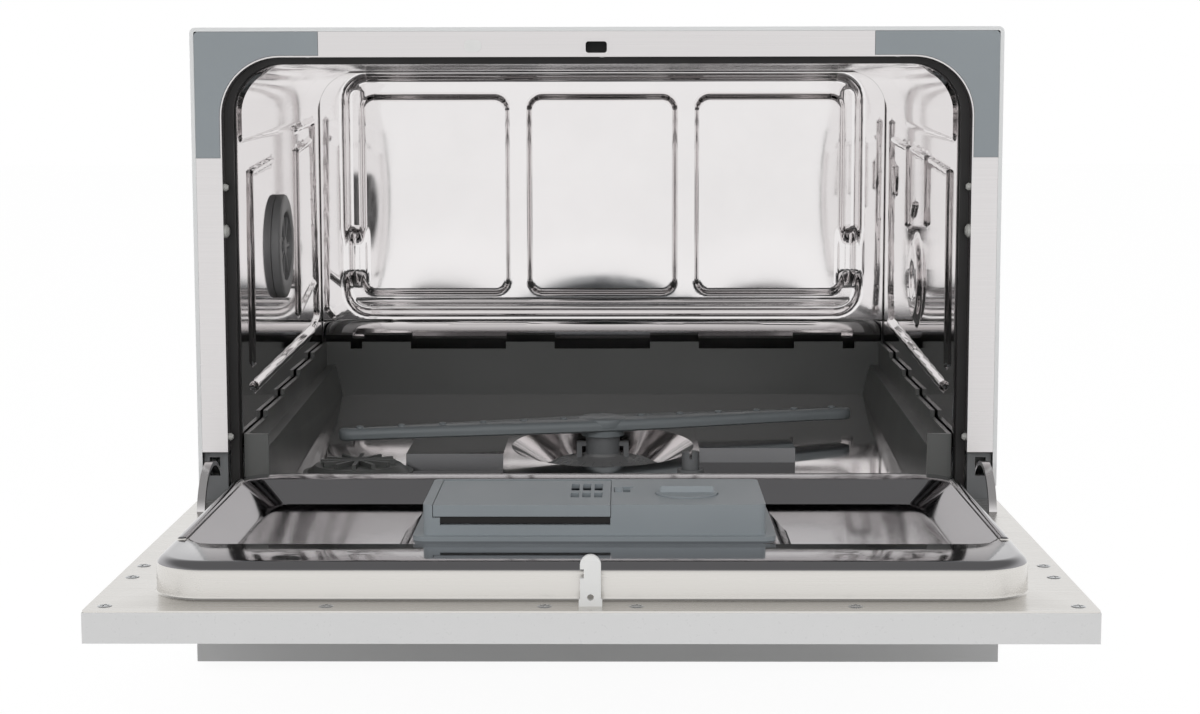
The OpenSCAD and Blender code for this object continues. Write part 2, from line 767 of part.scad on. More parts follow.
module float_housing() color("gray") in_row() translate([float_x, float_y, 0]) difference() {
    union() {
        translate([0, 0, floor_z(float_y) - 20]) cylinder(r = 5.8, h = 18);
        translate([0, 0, floor_z(float_y) + 0.8]) cylinder(r = 10, h = 3);
        translate([0, 0, floor_z(float_y) - 3]) cylinder(r = 5.8, h = 5);
    }
    translate([0, 0, floor_z(float_y) - 16]) cylinder(r = 3 + run_gap, h = 60);
    translate([0, 0, floor_z(float_y) + 1.6]) cylinder(r = float_d / 2 + run_gap, h = 10);
}

// Mushroom float with a cross slot in its head.
module float() color("silver") in_row() translate([float_x, float_y, 0]) difference() {
    union() {
        translate([0, 0, floor_z(float_y) - 12]) cylinder(r = 3, h = 16);
        translate([0, 0, floor_z(float_y) + 2.4])
            cylinder(d = float_d, h = float_top - floor_z(float_y) - 2.4);
    }
    slab(-1, 1, -10, 10, float_top - 5, float_top + 1);
}

module salt_container() color("lightgray") in_row() translate([salt_x, salt_y, 0]) difference() {
    union() {
        translate([0, 0, 40]) cylinder(d = salt_d, h = floor_z(salt_y) - 48);
        cylinder(d = salt_bore - 1, h = floor_z(salt_y));
    }
    translate([0, 0, -cut]) cylinder(d = salt_d + 9, h = 38 + cut);
    translate([0, 0, 44]) cylinder(d = salt_d - 15, h = 100);
}

module salt_cap() color("dimgray") in_row() translate([salt_x, salt_y, floor_z(salt_y) + 3.4]) {
    cylinder(d = salt_d, h = 4);
    translate([0, 0, 3.5]) cylinder(d1 = salt_d - 5, d2 = salt_d - 18, h = 5.5);
    for (a = [0 : 30 : 179]) rotate(a) slab(13 - salt_d / 2, salt_d / 2 - 13, -1.5, 1.5, 8, 12.5);
}

// Vent and air break.

module vent_nut() color("gray") in_row() translate([-tub_hw, vent_y, vent_z]) rotate([0, 90, 0])
    difference() {
        union() {
            rotate_extrude() polygon([
                [20, -8], [vent_bore - 0.5, -8], [vent_bore - 0.5, seat_gap],
                [vent_d / 2 - 1.5, seat_gap], [vent_d / 2, 1.5], [vent_d / 2, 4.5],
                [vent_d / 2 - 2, 6.5], [vent_d / 2 - 9, 6.5], [vent_d / 2 - 11, 5],
                [vent_bore, 2.2], [20, 2.2]]);
            for (a = [0 : 22.5 : 359]) rotate(a) slab(8, vent_bore + 1, -1.2, 1.2, 0.8, 4);
            translate([0, 0, 0.4]) cylinder(r = 10, h = 4.4);
        }
        translate([0, 0, 3]) cylinder(r = 6, h = 5);
    }

module air_break() color("whitesmoke") in_row() difference() {
    x0 = 1.5 - half_w + case_t;
    x1 = -tub_hw - tub_t - 8.2;
    y0 = deep(0.2);
    y1 = deep(0.83);
    high = tub_top - 28;
    cell = (y1 - y0 - 12) / 6;
    slab(x0, x1, y0, y1, wall_low + 15, high);
    for (i = [0 : 5]) slab(x0 - cut, x1 - 3, y0 + 10 + i * cell, y0 + 2 + (i + 1) * cell,
        wall_low + 30, vent_z - 37);
    for (i = [0 : 5]) slab(x0 - cut, x1 - 3, y0 + 10 + i * cell, y0 + 2 + (i + 1) * cell,
        vent_z + 43, high - 13);
}

// Hinges.

module ear_outline() {
    translate([pivot_y, pivot_z]) circle(ear_r);
    translate([pivot_y, pivot_z - ear_r]) square([30, 2 * ear_r]);
    translate([10, tray_z + tray_h]) square([60, 34]);
    translate([10, pivot_z - ear_r]) square([24, 2 * ear_r]);
    translate([10, tray_z + tray_h]) square([24, pivot_z - tray_z - tray_h]);
}

module hinge_bracket() color("silver") in_row() {
    along_x(ear_x, ear_x + 3) ear_outline();
    along_x(ear_x, ear_x + 14) translate([32, tray_z + tray_h]) square([38, 2]);
    translate([ear_x, pivot_y, pivot_z]) rotate([0, 90, 0])
        cylinder(r = pin_r, h = hinge_x + strap_w - ear_x);
}
module hinge_bracket_right() hinge_bracket();
module hinge_bracket_left() mirror([1, 0, 0]) hinge_bracket();

module hinge_cover() color("gray") in_row() {
    x0 = open_hw + frame_t + 0.3;
    x1 = sheet_hw - 0.3;
    y0 = 6.5;
    low = pivot_z - 4;
    high = frame_end - 1.5;
    difference() {
        slab(x0, x1, y0, y0 + 2, low, high);
        slab(hinge_x - 1, hinge_x + strap_w + 1, 0, 20, high - 16, high - 3);
        slab(ear_x - 0.5, ear_x + 3.5, 0, 20, low - cut, pivot_z + ear_r + 0.5);
    }
    slab(x1 - 2, x1, y0 + 1.9, y0 + 16, low, high);
    slab(x0, x1, y0 + 1.9, y0 + 12, high - 2, high);
}
module hinge_cover_right() hinge_cover();
module hinge_cover_left() mirror([1, 0, 0]) hinge_cover();

// Arm on the door: side plate with the pin bore and a strap round the pin.
module hinge_arm() color("silver") in_row() {
    difference() {
        along_x(hinge_x, hinge_x + plate_t) {
            translate([pivot_y, pivot_z]) circle(ear_r + 0.4);
            translate([pivot_y - 75, pivot_z - 5]) square([75, 12]);
        }
        translate([hinge_x - cut, pivot_y, pivot_z]) rotate([0, 90, 0])
            cylinder(r = pin_r + pin_fit, h = 10);
        for (y = [-70, -55]) translate([hinge_x - cut, pivot_y + y, pivot_z + 1])
            rotate([0, 90, 0]) cylinder(r = 2, h = 10);
    }
    along_x(hinge_x, hinge_x + strap_w) translate([pivot_y, pivot_z]) difference() {
        circle(strap_r, $fn = 96);
        circle(strap_r - strap_t, $fn = 96);
        rotate(180 - strap_from) translate([-80, 0]) square([160, 80]);
        rotate(180 - strap_to) translate([-80, -80]) square([160, 80]);
    }
}
module hinge_arm_right() hinge_arm();
module hinge_arm_left() mirror([1, 0, 0]) hinge_arm();

// Machinery in the base.

module circulation_pump() color("gray") in_row() {
    px = sump_x + 115;
    translate([px, sump_y, 52]) rotate([90, 0, 0]) {
        translate([0, 0, -26]) cylinder(r = 33, h = 30);
        translate([0, 0, 3]) cylinder(r = 30, h = 62);
        translate([0, 0, 64]) cylinder(r = 24, h = 8);
        for (a = [0 : 30 : 359]) rotate(a) slab(29, 32, -1.2, 1.2, 8, 60);
    }
    for (y = [-10, -56]) slab(px - 10, px + 10, sump_y + y - 4, sump_y + y, tray_z + tray_t, 32);
    translate([sump_x + well_r + 15, sump_y, 40]) rotate([0, 90, 0])
        tube(8.8, 6.5, px - sump_x - well_r - 40);
}

module drain_pump() color("darkgray") in_row() {
    px = sump_x - 100;
    translate([px, sump_y, 40]) rotate([90, 0, 0]) {
        translate([0, 0, -18]) cylinder(r = 24, h = 20);
        translate([0, 0, 1]) cylinder(r = 20, h = 40);
    }
    slab(px - 14, px + 14, sump_y - 36, sump_y - 8, tray_z + tray_t, 24);
}

module heater() color("silver") in_row() translate([sump_x, sump_y + 118, 52]) {
    difference() {
        rotate([0, 90, 0]) translate([0, 0, -70]) cylinder(r = 22, h = 140);
        rotate([0, 90, 0]) translate([0, 0, -71]) cylinder(r = 17, h = 142);
    }
    for (x = [-71, 69]) translate([x, 0, 0]) rotate([0, 90, 0]) cylinder(r = 25, h = 4);
    for (x = [-50, 46]) slab(x, x + 4, -20, 20, tray_z + tray_t - 52, -20);
}

module inlet_valve() color("whitesmoke") in_row() translate([inlet_x, 0, port_z]) {
    slab(-17, 17, tray_back - tray_t - 46, tray_back - tray_t - 0.2, -17, 17);
    rear_tube(13, 9, tray_back - tray_t - 0.3, tray_back + 14);
    for (i = [0 : 4]) rear_tube(13.6, 12.5, tray_back + 3 + 2 * i, tray_back + 4 + 2 * i);
}

module rear_tube(ro, ri, y0, y1) translate([0, y0, 0]) rotate([-90, 0, 0]) tube(ro, ri, y1 - y0);

module drain_outlet() color("dimgray") in_row() translate([drain_x, 0, port_z]) {
    rear_tube(14, 7, tray_back - tray_t - 4, tray_back - tray_t - 0.2);
    rear_tube(10, 7, tray_back - tray_t - 1, tray_back + 12);
    rear_tube(10.8, 7, tray_back + 9, tray_back + 12);
}

module power_inlet() color("black") in_row() translate([power_in_x, 0, port_z]) difference() {
    union() {
        slab(-13.8, 13.8, tray_back - tray_t - 18, tray_back, -9.8, 9.8);
        slab(-18, 18, tray_back + 0.1, tray_back + 3, -14, 14);
        slab(-13.8, 13.8, tray_back - 1, tray_back + 2, -9.8, 9.8);
    }
    slab(-12, 12, tray_back - 14, tray_back + 5, -8, 8);
}

// Door.

module door_corner_cut() both_sides() {
    slab(ear_x - 1, ear_x + 4, pivot_y - ear_r - 1, door_rear + cut, pivot_z - ear_r - 0.5,
        flange_z + 5);
}

module door_panel() color("silver") in_row() {
    y1 = door_rear;
    y0 = door_tip + fascia_h;
    top = flange_z - liner_t;
    difference() {
        slab(-half_w, half_w, y0, y1, face_z, top);
        slab(liner_t - half_w, half_w - liner_t, y0 + liner_t, y1 - liner_t, face_z + liner_t,
            top + cut);
        door_corner_cut();
    }
}

module door_fascia() color("lightgray") in_row() {
    wall = 2;
    y0 = door_tip;
    y1 = door_tip + fascia_h - 0.2;
    top = flange_z - liner_t;
    difference() {
        slab(-half_w, half_w, y0, y1, face_z, top);
        difference() {
            slab(wall - half_w, half_w - wall, y0 + wall, y1 - wall, face_z + wall, top + cut);
            slab(-72, 72, y0, y0 + 34, face_z, face_z + 12);
        }
        grip_pocket();
        translate([window_x, button_y, face_z - cut]) linear_extrude(4)
            round_rect(window_w + 2 * seat_gap, window_h + 2 * seat_gap, 4 + seat_gap);
        button_holes();
    }
    for (x = [board_from + 6, board_to - 6], y = [-12, 17])
        translate([x, button_y + y, face_z + wall - 0.5]) cylinder(r = 4, h = 8 - wall + 0.5);
}

module grip_pocket() hull() {
    translate([0, door_tip + 19, face_z - 1]) linear_extrude(1.5) round_rect(132, 24, 10);
    translate([0, door_tip + 17, face_z + 9]) linear_extrude(1) round_rect(124, 20, 8);
}

module button_holes() {
    translate([power_x, button_y, face_z - cut]) cylinder(r = 9 + run_gap, h = 4);
    for (x = key_x) translate([x, button_y, face_z - cut]) linear_extrude(4)
        round_rect(24 + 2 * run_gap, 12 + 2 * run_gap, 4 + run_gap);
}

module button_power() color("white") in_row() translate([power_x, button_y, face_z]) {
    translate([0, 0, -button_proud]) cylinder(r = 9, h = button_proud + 3.6);
    translate([0, 0, 2.4 + run_gap / 2]) cylinder(r = 11, h = 1.6);
}

module key_button(x) color("white") in_row() translate([x, button_y, face_z]) {
    translate([0, 0, -button_proud]) linear_extrude(button_proud + 3.6) round_rect(24, 12, 4);
    translate([0, 0, 2.4 + run_gap / 2]) linear_extrude(1.6) round_rect(28, 16, 5);
}
module button_program() key_button(key_x[0]);
module button_delay() key_button(key_x[1]);
module button_start() key_button(key_x[2]);

module display_window() color("black") in_row() translate([window_x, button_y, face_z]) {
    linear_extrude(2) round_rect(window_w, window_h, 4);
    translate([0, 0, 2.05]) linear_extrude(1) round_rect(window_w + 6, window_h + 6, 6);
    translate([0, 0, 1.9]) linear_extrude(0.3) round_rect(window_w - 1, window_h - 1, 4);
}

module control_board() color("darkgreen") in_row() {
    slab(board_from, board_to, button_y + 2.5 - board_y, button_y + 2.5 + board_y, face_z + 8,
        face_z + 9.6);
    for (x = [window_x - 40, window_x + 30]) slab(x, x + 10, button_y - 8, button_y + 8, face_z + 4,
        face_z + 8.2);
    for (x = key_x) slab(x - 3, x + 3, button_y - 3, button_y + 3, face_z + 5.6, face_z + 8.2);
}

// Liner: flange sheet, pressed field with round edges, and its recess.
module door_liner() color("lightsteelblue") in_row() difference() {
    under = flange_z - liner_t;
    union() {
        difference() {
            union() {
                slab(0.1 - half_w, half_w - 0.1, door_tip + 0.1, door_rear - 0.1, under, flange_z);
                field(0, under, field_z);
                recess(0, field_z - liner_t / 2);
            }
            difference() {
                field(liner_t, under - cut, field_z - liner_t);
                recess(0, field_z);
            }
            recess(liner_t, field_z + cut);
        }
        land(0);
    }
    land(liner_t);
    door_corner_cut();
    both_sides() slab(hinge_x - 0.7, hinge_x + strap_w + 0.7, pivot_y - strap_r - 2,
        pivot_y - strap_r + 6, face_z, flange_z + cut);
    slab(disp_x - disp_w / 2 + 4, disp_x + disp_w / 2 - 4, disp_y - disp_d / 2 + 4,
        disp_y + disp_d / 2 - 4, face_z, land_z + cut);
}

// Raised land that carries the dispenser, running into the front wall of the recess.
module land(inset) {
    top_w = disp_w + 2 * disp_skirt + 2;
    y0 = recess_front - 2;
    y1 = disp_y + disp_d / 2 + disp_skirt + 1;
    hull() {
        translate([disp_x, (y0 + y1) / 2, land_z - inset - 0.1]) linear_extrude(0.1)
            round_rect(top_w - 2 * inset, y1 - y0 - 2 * inset, 8, $fn = 32);
        translate([disp_x, (y0 + y1 + land_slope) / 2, recess_z - liner_t + 0.1 - inset])
            linear_extrude(0.1) round_rect(top_w + 2 * (land_slope - inset),
                y1 - y0 + land_slope - 2 * inset, 14, $fn = 32);
    }
}

// Pressed field of the liner, drawn smaller on all sides by the inset.
module field(inset, bottom, top) {
    x = liner_hw - liner_r;
    y = (liner_rear - liner_tip) / 2 - liner_r;
    r = liner_r - inset;
    e = liner_edge - inset;
    translate([0, (liner_rear + liner_tip) / 2, 0]) hull() for (sx = [-1, 1], sy = [-1, 1])
        translate([sx * x, sy * y, 0]) rotate_extrude($fn = 32) polygon(concat(
            [[0, top], [0, bottom], [r, bottom]],
            [for (a = [0 : 15 : 90]) [r - e + e * cos(a), top - e + e * sin(a)]]));
}

// Recess with sloping walls, from its floor up to the given height.
module recess(inset, top) {
    l = recess_rear - recess_front;
    low = recess_z - liner_t + inset;
    spread = recess_slope * (top - field_z) / recess_drop;
    translate([0, (recess_rear + recess_front) / 2, 0]) hull() {
        translate([0, 0, top - 0.1]) linear_extrude(0.1)
            round_rect(2 * (recess_hw + spread * recess_side / recess_slope - inset),
                l + 2 * (spread - inset), recess_r, $fn = 32);
        translate([0, 0, low]) linear_extrude(0.1)
            round_rect(2 * (recess_hw - recess_side - inset), l - 2 * (recess_slope + inset),
                recess_r - 6, $fn = 32);
    }
}

module latch_hook() color("white") in_row() translate([0, latch_reach, flange_z]) difference() {
    translate([0, hook_t / 2, 0]) rotate([90, 0, 0]) linear_extrude(hook_t) difference() {
        union() {
            translate([-6.4, 0]) square([12.8, 4]);
            translate([-5.7, 0]) square([11.4, hook_h - 5.7]);
            translate([0, hook_h - 5.7]) circle(5.7);
        }
        translate([-7, hook_h - 13]) square([3.4, 5]);
        translate([0, 5]) circle(1.8);
    }
    translate([0, 0, -cut]) cube([2, 2, 1], center = true);
}

module flange_screws() color("gray") in_row() {
    tip_y = pivot_y - (latch_z + 0.8 - pivot_z);
    for (s = [-1, 1]) {
        for (x = [half_w - 10, 0.524 * half_w, 25]) screw(s * x, tip_y);
        for (y = [87.5, 119.5]) screw(s * (half_w - 9), door_tip + y);
    }
}

module screw(x, y) translate([x, y, flange_z]) {
    difference() {
        cylinder(r1 = 3.6, r2 = 2.8, h = 0.5);
        for (a = [0, 90]) rotate(a) slab(-2, 2, -0.35, 0.35, 0.2, 1);
    }
}

// Dispenser: detergent cup under the flap on the left, rinse aid dial on the right.
module dispenser_housing() color("slategray") in_row() {
    x0 = disp_x - disp_w / 2;
    y0 = disp_y - disp_d / 2;
    difference() {
        union() {
            translate([disp_x, disp_y, land_z]) linear_extrude(disp_top - land_z)
                round_rect(disp_w, disp_d, 4);
            translate([disp_x, disp_y, land_z]) linear_extrude(2.5)
                round_rect(disp_w + 2 * disp_skirt, disp_d + 2 * disp_skirt, 8);
            slab(x0 + 5, x0 + disp_w - 5, y0 + 5, y0 + disp_d - 5, face_z + 4, land_z + 1);
        }
        slab(flap_x0 - run_gap, flap_x0 + flap_w + run_gap, y0 - cut,
            flap_hinge_y + 4.4, disp_top - flap_t - 1.6, disp_top + cut);
        slab(flap_x0 + 8, flap_x0 + flap_w - 8, y0 + 8, flap_hinge_y - 12, disp_top - cup_depth,
            disp_top);
        slab(flap_x0 + 4, flap_x0 + flap_w, y0 - cut, y0 + 2, disp_top - 12, disp_top);
        translate([flap_x0 - 5, flap_hinge_y, flap_pin_z]) rotate([0, 90, 0])
            cylinder(r = flap_pin_r + pin_fit, h = flap_w + 10);
        slab(flap_x0 + flap_w + 16, disp_x + disp_w / 2 - 8, y0 + 8, y0 + disp_d - 8, face_z + 2,
            disp_top - 16);
        slab(latch_x - run_gap, latch_x + 9 + run_gap, disp_y - 2 - run_gap, disp_y + 14 + run_gap,
            disp_top - 8, disp_top + cut);
        translate([disp_x + 20, disp_y + 15, disp_top - 1.5]) linear_extrude(4) scale([1.4, 1]) circle(2.5);
        translate([dial_x, dial_y, disp_top - 6]) cylinder(d = dial_d + 2 * run_gap, h = 10);
        translate([dial_x, dial_y, disp_top - 14]) cylinder(r = 6 + pin_fit, h = 20);
    }
}

module dispenser_flap() color("slategray") in_row() {
    y0 = disp_y - disp_d / 2;
    difference() {
        union() {
            slab(flap_x0, flap_x0 + flap_w, y0, flap_hinge_y, disp_top - 3, disp_top - 0.2);
            slab(flap_x0, flap_x0 + flap_w, y0, y0 + 3, disp_top - flap_t - 1, disp_top - 0.5);
            slab(flap_x0, flap_x0 + 2, y0 + 2, flap_hinge_y - 4, disp_top - flap_t, disp_top - 2);
            slab(flap_x0 + flap_w - 2, flap_x0 + flap_w, y0 + 2, flap_hinge_y - 4,
                disp_top - flap_t, disp_top - 2);
            translate([flap_x0, flap_hinge_y, flap_pin_z]) rotate([0, 90, 0])
                cylinder(r = 3.2, h = flap_w);
        }
        for (x = [-12, -5, 2], p = [[5, 23], [-19, 16]]) slab(disp_x + x - 2.5, disp_x + x + 2.5,
            disp_y + p[0], disp_y + p[0] + p[1], disp_top - 10, disp_top + 1);
    }
    translate([flap_x0 - 4, flap_hinge_y, flap_pin_z]) rotate([0, 90, 0])
        cylinder(r = flap_pin_r, h = flap_w + 8);
}

module flap_latch() color("gray") in_row() {
    slab(latch_x, latch_x + 5, disp_y - 2, disp_y + 14, disp_top - 7.6, disp_top - 0.3);
    for (i = [0 : 3]) slab(latch_x + 0.5, latch_x + 4.5, disp_y + 3 * i, disp_y + 3 * i + 1,
        disp_top - 0.4, disp_top + 0.6);
}

module rinse_dial() color("slategray") in_row() translate([dial_x, dial_y, disp_top]) {
    translate([0, 0, -5.6]) cylinder(d = dial_d, h = 6.6);
    translate([0, 0, -13]) cylinder(r = 6, h = 9);
    hull() for (s = [-1, 1]) translate([s * (dial_d / 2 - 4), 0, 0.5]) {
        cylinder(r = 2.2, h = 0.5, $fn = 24);
        translate([0, 0, 3]) cylinder(r = 1.2, h = 1, $fn = 24);
    }
}

// Spray arm.

module spray_arm() color("gray") in_row() translate([sump_x, sump_y, 0]) rotate(arm_angle)
    difference() {
        union() {
            both_sides() hull() {
                translate([0, 0, arm_z - 1]) cylinder(r = 19, h = arm_t + 3.2, $fn = 32);
                translate([arm_r - 9, 0, arm_z]) cylinder(r = 9, h = arm_t, $fn = 32);
            }
            translate([0, 0, arm_z - 6.8]) cylinder(r = 17, h = 8);
        }
        translate([0, 0, arm_z - 10]) cylinder(d = post_d + 2 * pin_fit, h = 17);
        for (s = [-1, 1], i = [1 : arm_jets])
            translate([s * (arm_r - 14) * i / arm_jets, s * (i % 2 == 0 ? 4 : -3), arm_z + 3])
                cylinder(r = 1.6, h = 20, $fn = 24);
    }

base_tray();
foot_front_left();
foot_front_right();
foot_rear_left();
foot_rear_right();
kick_plate();
outer_case();
rear_panel();
front_frame();
corner_cover_left();
corner_cover_right();
latch_escutcheon();
frame_plug();
door_lock();
tub_wrap();
tub_back();
tub_base();
tub_floor();
door_gasket();
bottom_seal();
rack_studs();
sump();
filter();
filter_lid();
spray_hub();
float_housing();
salt_container();
salt_cap();
vent_nut();
air_break();
hinge_bracket_left();
hinge_bracket_right();
hinge_cover_left();
hinge_cover_right();
circulation_pump();
drain_pump();
heater();
inlet_valve();
drain_outlet();
power_inlet();
door_panel();
door_fascia();
display_window();
control_board();
door_liner();
hinge_arm_left();
hinge_arm_right();
latch_hook();
dispenser_housing();
flange_screws();
spray_arm();
dispenser_flap();
flap_latch();
rinse_dial();
float();
button_power();
button_program();
button_delay();
button_start();
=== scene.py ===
"""Countertop dishwasher with its door open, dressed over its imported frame."""
import math

import bmesh
import bpy
from bpy.props import FloatProperty, FloatVectorProperty, IntProperty, PointerProperty
from mathutils import Matrix, Vector


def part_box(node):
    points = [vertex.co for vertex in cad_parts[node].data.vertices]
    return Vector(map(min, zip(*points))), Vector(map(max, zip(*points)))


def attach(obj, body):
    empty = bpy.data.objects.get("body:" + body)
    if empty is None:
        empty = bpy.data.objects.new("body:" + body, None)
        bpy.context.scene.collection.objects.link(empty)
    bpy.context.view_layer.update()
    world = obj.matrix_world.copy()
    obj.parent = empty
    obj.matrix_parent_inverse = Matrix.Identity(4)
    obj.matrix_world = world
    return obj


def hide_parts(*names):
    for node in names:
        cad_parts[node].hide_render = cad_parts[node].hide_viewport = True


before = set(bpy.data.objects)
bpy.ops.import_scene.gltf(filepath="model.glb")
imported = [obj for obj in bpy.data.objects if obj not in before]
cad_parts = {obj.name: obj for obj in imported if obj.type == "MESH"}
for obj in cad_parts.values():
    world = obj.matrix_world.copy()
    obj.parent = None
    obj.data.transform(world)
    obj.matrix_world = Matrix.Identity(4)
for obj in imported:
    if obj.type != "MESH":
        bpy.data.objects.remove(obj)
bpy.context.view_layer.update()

bl_info = {
    "name": "Countertop Dishwasher",
    "version": (1, 0, 0),
    "blender": (4, 5, 0),
    "location": "View3D > Sidebar > Dishwasher",
    "description": "Builds the pressed, moulded and painted pieces of a countertop dishwasher",
    "category": "Add Mesh",
}

MM = 0.001

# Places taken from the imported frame, in metres.
TUB_LOW, TUB_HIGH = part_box("tub_back")
WRAP_LOW, WRAP_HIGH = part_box("tub_wrap")
LINER_LOW, LINER_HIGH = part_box("door_liner")
HOUSING_LOW, HOUSING_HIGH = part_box("dispenser_housing")
VENT_LOW, VENT_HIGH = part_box("vent_nut")
GASKET_LOW, GASKET_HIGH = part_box("door_gasket")
SCREWS_LOW, SCREWS_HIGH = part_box("flange_screws")

SHEET = 1.0 * MM
HOUSING_SKIRT = 6 * MM
TUB_HALF = TUB_HIGH[0] - SHEET
TUB_TOP = TUB_HIGH[2] - SHEET
TUB_BACK = WRAP_HIGH[1]
TUB_FRONT = GASKET_HIGH[1] + 0.2 * MM
FRONT_PLANE = GASKET_LOW[1] - 11.2 * MM
LINER_FLANGE = LINER_HIGH[2] - 21 * MM


def sizes():
    return bpy.context.scene.dishwasher_sizes


def colours():
    return bpy.context.scene.dishwasher_colours


class DishwasherSizes(bpy.types.PropertyGroup):
    """Sizes of the pressed and moulded forms"""

    tub_radius: FloatProperty(
        name="Tub radius", description="Radius between the ceiling and the sides of the tub",
        default=33.5 * MM, min=20 * MM, max=60 * MM, unit="LENGTH")
    sheet_step: FloatProperty(
        name="Sheet step", description="Grid step of the pressed sheets",
        default=1.7 * MM, min=1.2 * MM, max=8 * MM, unit="LENGTH")
    rib_height: FloatProperty(
        name="Rib height", description="Height of the pressed ribs on the tub walls",
        default=2.7 * MM, min=0.5 * MM, max=6 * MM, unit="LENGTH")
    land_height: FloatProperty(
        name="Land height", description="Height of the raised lands under the ceiling",
        default=2.2 * MM, min=0.5 * MM, max=5 * MM, unit="LENGTH")
    frame_press: FloatProperty(
        name="Back frame depth", description="Depth of the large field pressed into the back",
        default=7 * MM, min=2 * MM, max=9 * MM, unit="LENGTH")
    panel_press: FloatProperty(
        name="Panel height", description="How far the three panels stand out of that field",
        default=2.8 * MM, min=1 * MM, max=6 * MM, unit="LENGTH")
    panel_crown: FloatProperty(
        name="Panel crown", description="How far the middle of each panel bulges into the tub",
        default=1.0 * MM, min=0, max=3 * MM, unit="LENGTH")
    liner_rim: FloatProperty(
        name="Liner edge", description="Radius of the outer edge of the pressed field of the door",
        default=7 * MM, min=2 * MM, max=10 * MM, unit="LENGTH")
    arm_jets: IntProperty(
        name="Nozzles", description="Nozzles on each half of the spray arm",
        default=6, min=2, max=8)


class DishwasherColours(bpy.types.PropertyGroup):
    """Colours of the finishes"""

    case_paint: FloatVectorProperty(
        name="Case paint", description="Paint of the outer case",
        default=(0.76, 0.77, 0.77), subtype="COLOR", size=3, min=0, max=1)
    door_paint: FloatVectorProperty(
        name="Door paint", description="Paint of the door and its fascia",
        default=(0.70, 0.70, 0.70), subtype="COLOR", size=3, min=0, max=1)
    frame_steel: FloatVectorProperty(
        name="Frame steel", description="Brushed steel of the front frame",
        default=(0.73, 0.71, 0.71), subtype="COLOR", size=3, min=0, max=1)
    tub_steel: FloatVectorProperty(
        name="Tub steel", description="Bright steel of the tub, its floor and the hinge arms",
        default=(0.82, 0.80, 0.80), subtype="COLOR", size=3, min=0, max=1)
    liner_steel: FloatVectorProperty(
        name="Liner steel", description="Satin steel of the door liner's flange and edges",
        default=(0.71, 0.69, 0.66), subtype="COLOR", size=3, min=0, max=1)
    # Painted reflection: a darker steel on the upward faces of the liner's rim and recess, standing in
    # for the dark things they mirror.
    dark_reflection_steel: FloatVectorProperty(
        name="Recess steel", description="Darker sheen of the liner's rim and recess",
        default=(0.31, 0.305, 0.315), subtype="COLOR", size=3, min=0, max=1)
    zinc_steel: FloatVectorProperty(
        name="Zinc steel", description="Plated steel of the hinge brackets, screws and rear panel",
        default=(0.62, 0.63, 0.64), subtype="COLOR", size=3, min=0, max=1)
    cover_plastic: FloatVectorProperty(
        name="Cover plastic", description="Corner covers and dispenser",
        default=(0.28, 0.31, 0.33), subtype="COLOR", size=3, min=0, max=1)
    plinth_paint: FloatVectorProperty(
        name="Plinth paint", description="Paint of the kick plate",
        default=(0.50, 0.50, 0.50), subtype="COLOR", size=3, min=0, max=1)
    arm_plastic: FloatVectorProperty(
        name="Arm plastic", description="Spray arm",
        default=(0.19, 0.21, 0.22), subtype="COLOR", size=3, min=0, max=1)
    # Painted shade: a darker steel on the forward faces of the blocks in the tub's floor.
    shade_steel: FloatVectorProperty(
        name="Shade steel", description="Front faces of the blocks in the tub's floor",
        default=(0.16, 0.16, 0.165), subtype="COLOR", size=3, min=0, max=1)
    vent_plastic: FloatVectorProperty(
        name="Vent plastic", description="Vent nut on the left wall and the bell over the filter",
        default=(0.19, 0.19, 0.192), subtype="COLOR", size=3, min=0, max=1)
    stud_plastic: FloatVectorProperty(
        name="Stud plastic", description="Studs that carry the rack",
        default=(0.45, 0.45, 0.43), subtype="COLOR", size=3, min=0, max=1)
    grey_plastic: FloatVectorProperty(
        name="Grey plastic", description="Hinge covers, spray hub, filter and float",
        default=(0.16, 0.165, 0.17), subtype="COLOR", size=3, min=0, max=1)
    dark_plastic: FloatVectorProperty(
        name="Dark plastic", description="Moulded base of the tub, base tray and sump",
        default=(0.105, 0.108, 0.105), subtype="COLOR", size=3, min=0, max=1)
    white_plastic: FloatVectorProperty(
        name="White plastic", description="Latch hook, frame plug, buttons and salt container",
        default=(0.80, 0.80, 0.79), subtype="COLOR", size=3, min=0, max=1)
    rubber: FloatVectorProperty(
        name="Rubber", description="Gasket, feet and seals",
        default=(0.012, 0.011, 0.011), subtype="COLOR", size=3, min=0, max=1)


# Materials.

NOISE_LOW, NOISE_HIGH = 0.3, 0.7


def new_material(name):
    """A node material with its output and one Principled shader."""
    material = bpy.data.materials.new(name)
    material.use_nodes = True
    nodes = material.node_tree.nodes
    links = material.node_tree.links
    shader = nodes.get("Principled BSDF")
    return material, nodes, links, shader


def mapped_noise(nodes, links, stretch, scale, detail=3.0, roughness=0.5):
    """Noise over object coordinates, stretched by a scale for each axis."""
    coords = nodes.new("ShaderNodeTexCoord")
    mapping = nodes.new("ShaderNodeMapping")
    mapping.inputs["Scale"].default_value = stretch
    links.new(coords.outputs["Object"], mapping.inputs["Vector"])
    noise = nodes.new("ShaderNodeTexNoise")
    noise.inputs["Scale"].default_value = scale
    noise.inputs["Detail"].default_value = detail
    noise.inputs["Roughness"].default_value = roughness
    links.new(mapping.outputs["Vector"], noise.inputs["Vector"])
    return noise


def vary(nodes, links, source, low, high, target):
    """Spreads a noise between two values on a shader socket."""
    spread = nodes.new("ShaderNodeMapRange")
    spread.inputs["From Min"].default_value = NOISE_LOW
    spread.inputs["From Max"].default_value = NOISE_HIGH
    spread.inputs["To Min"].default_value = low
    spread.inputs["To Max"].default_value = high
    links.new(source, spread.inputs["Value"])
    links.new(spread.outputs["Result"], target)


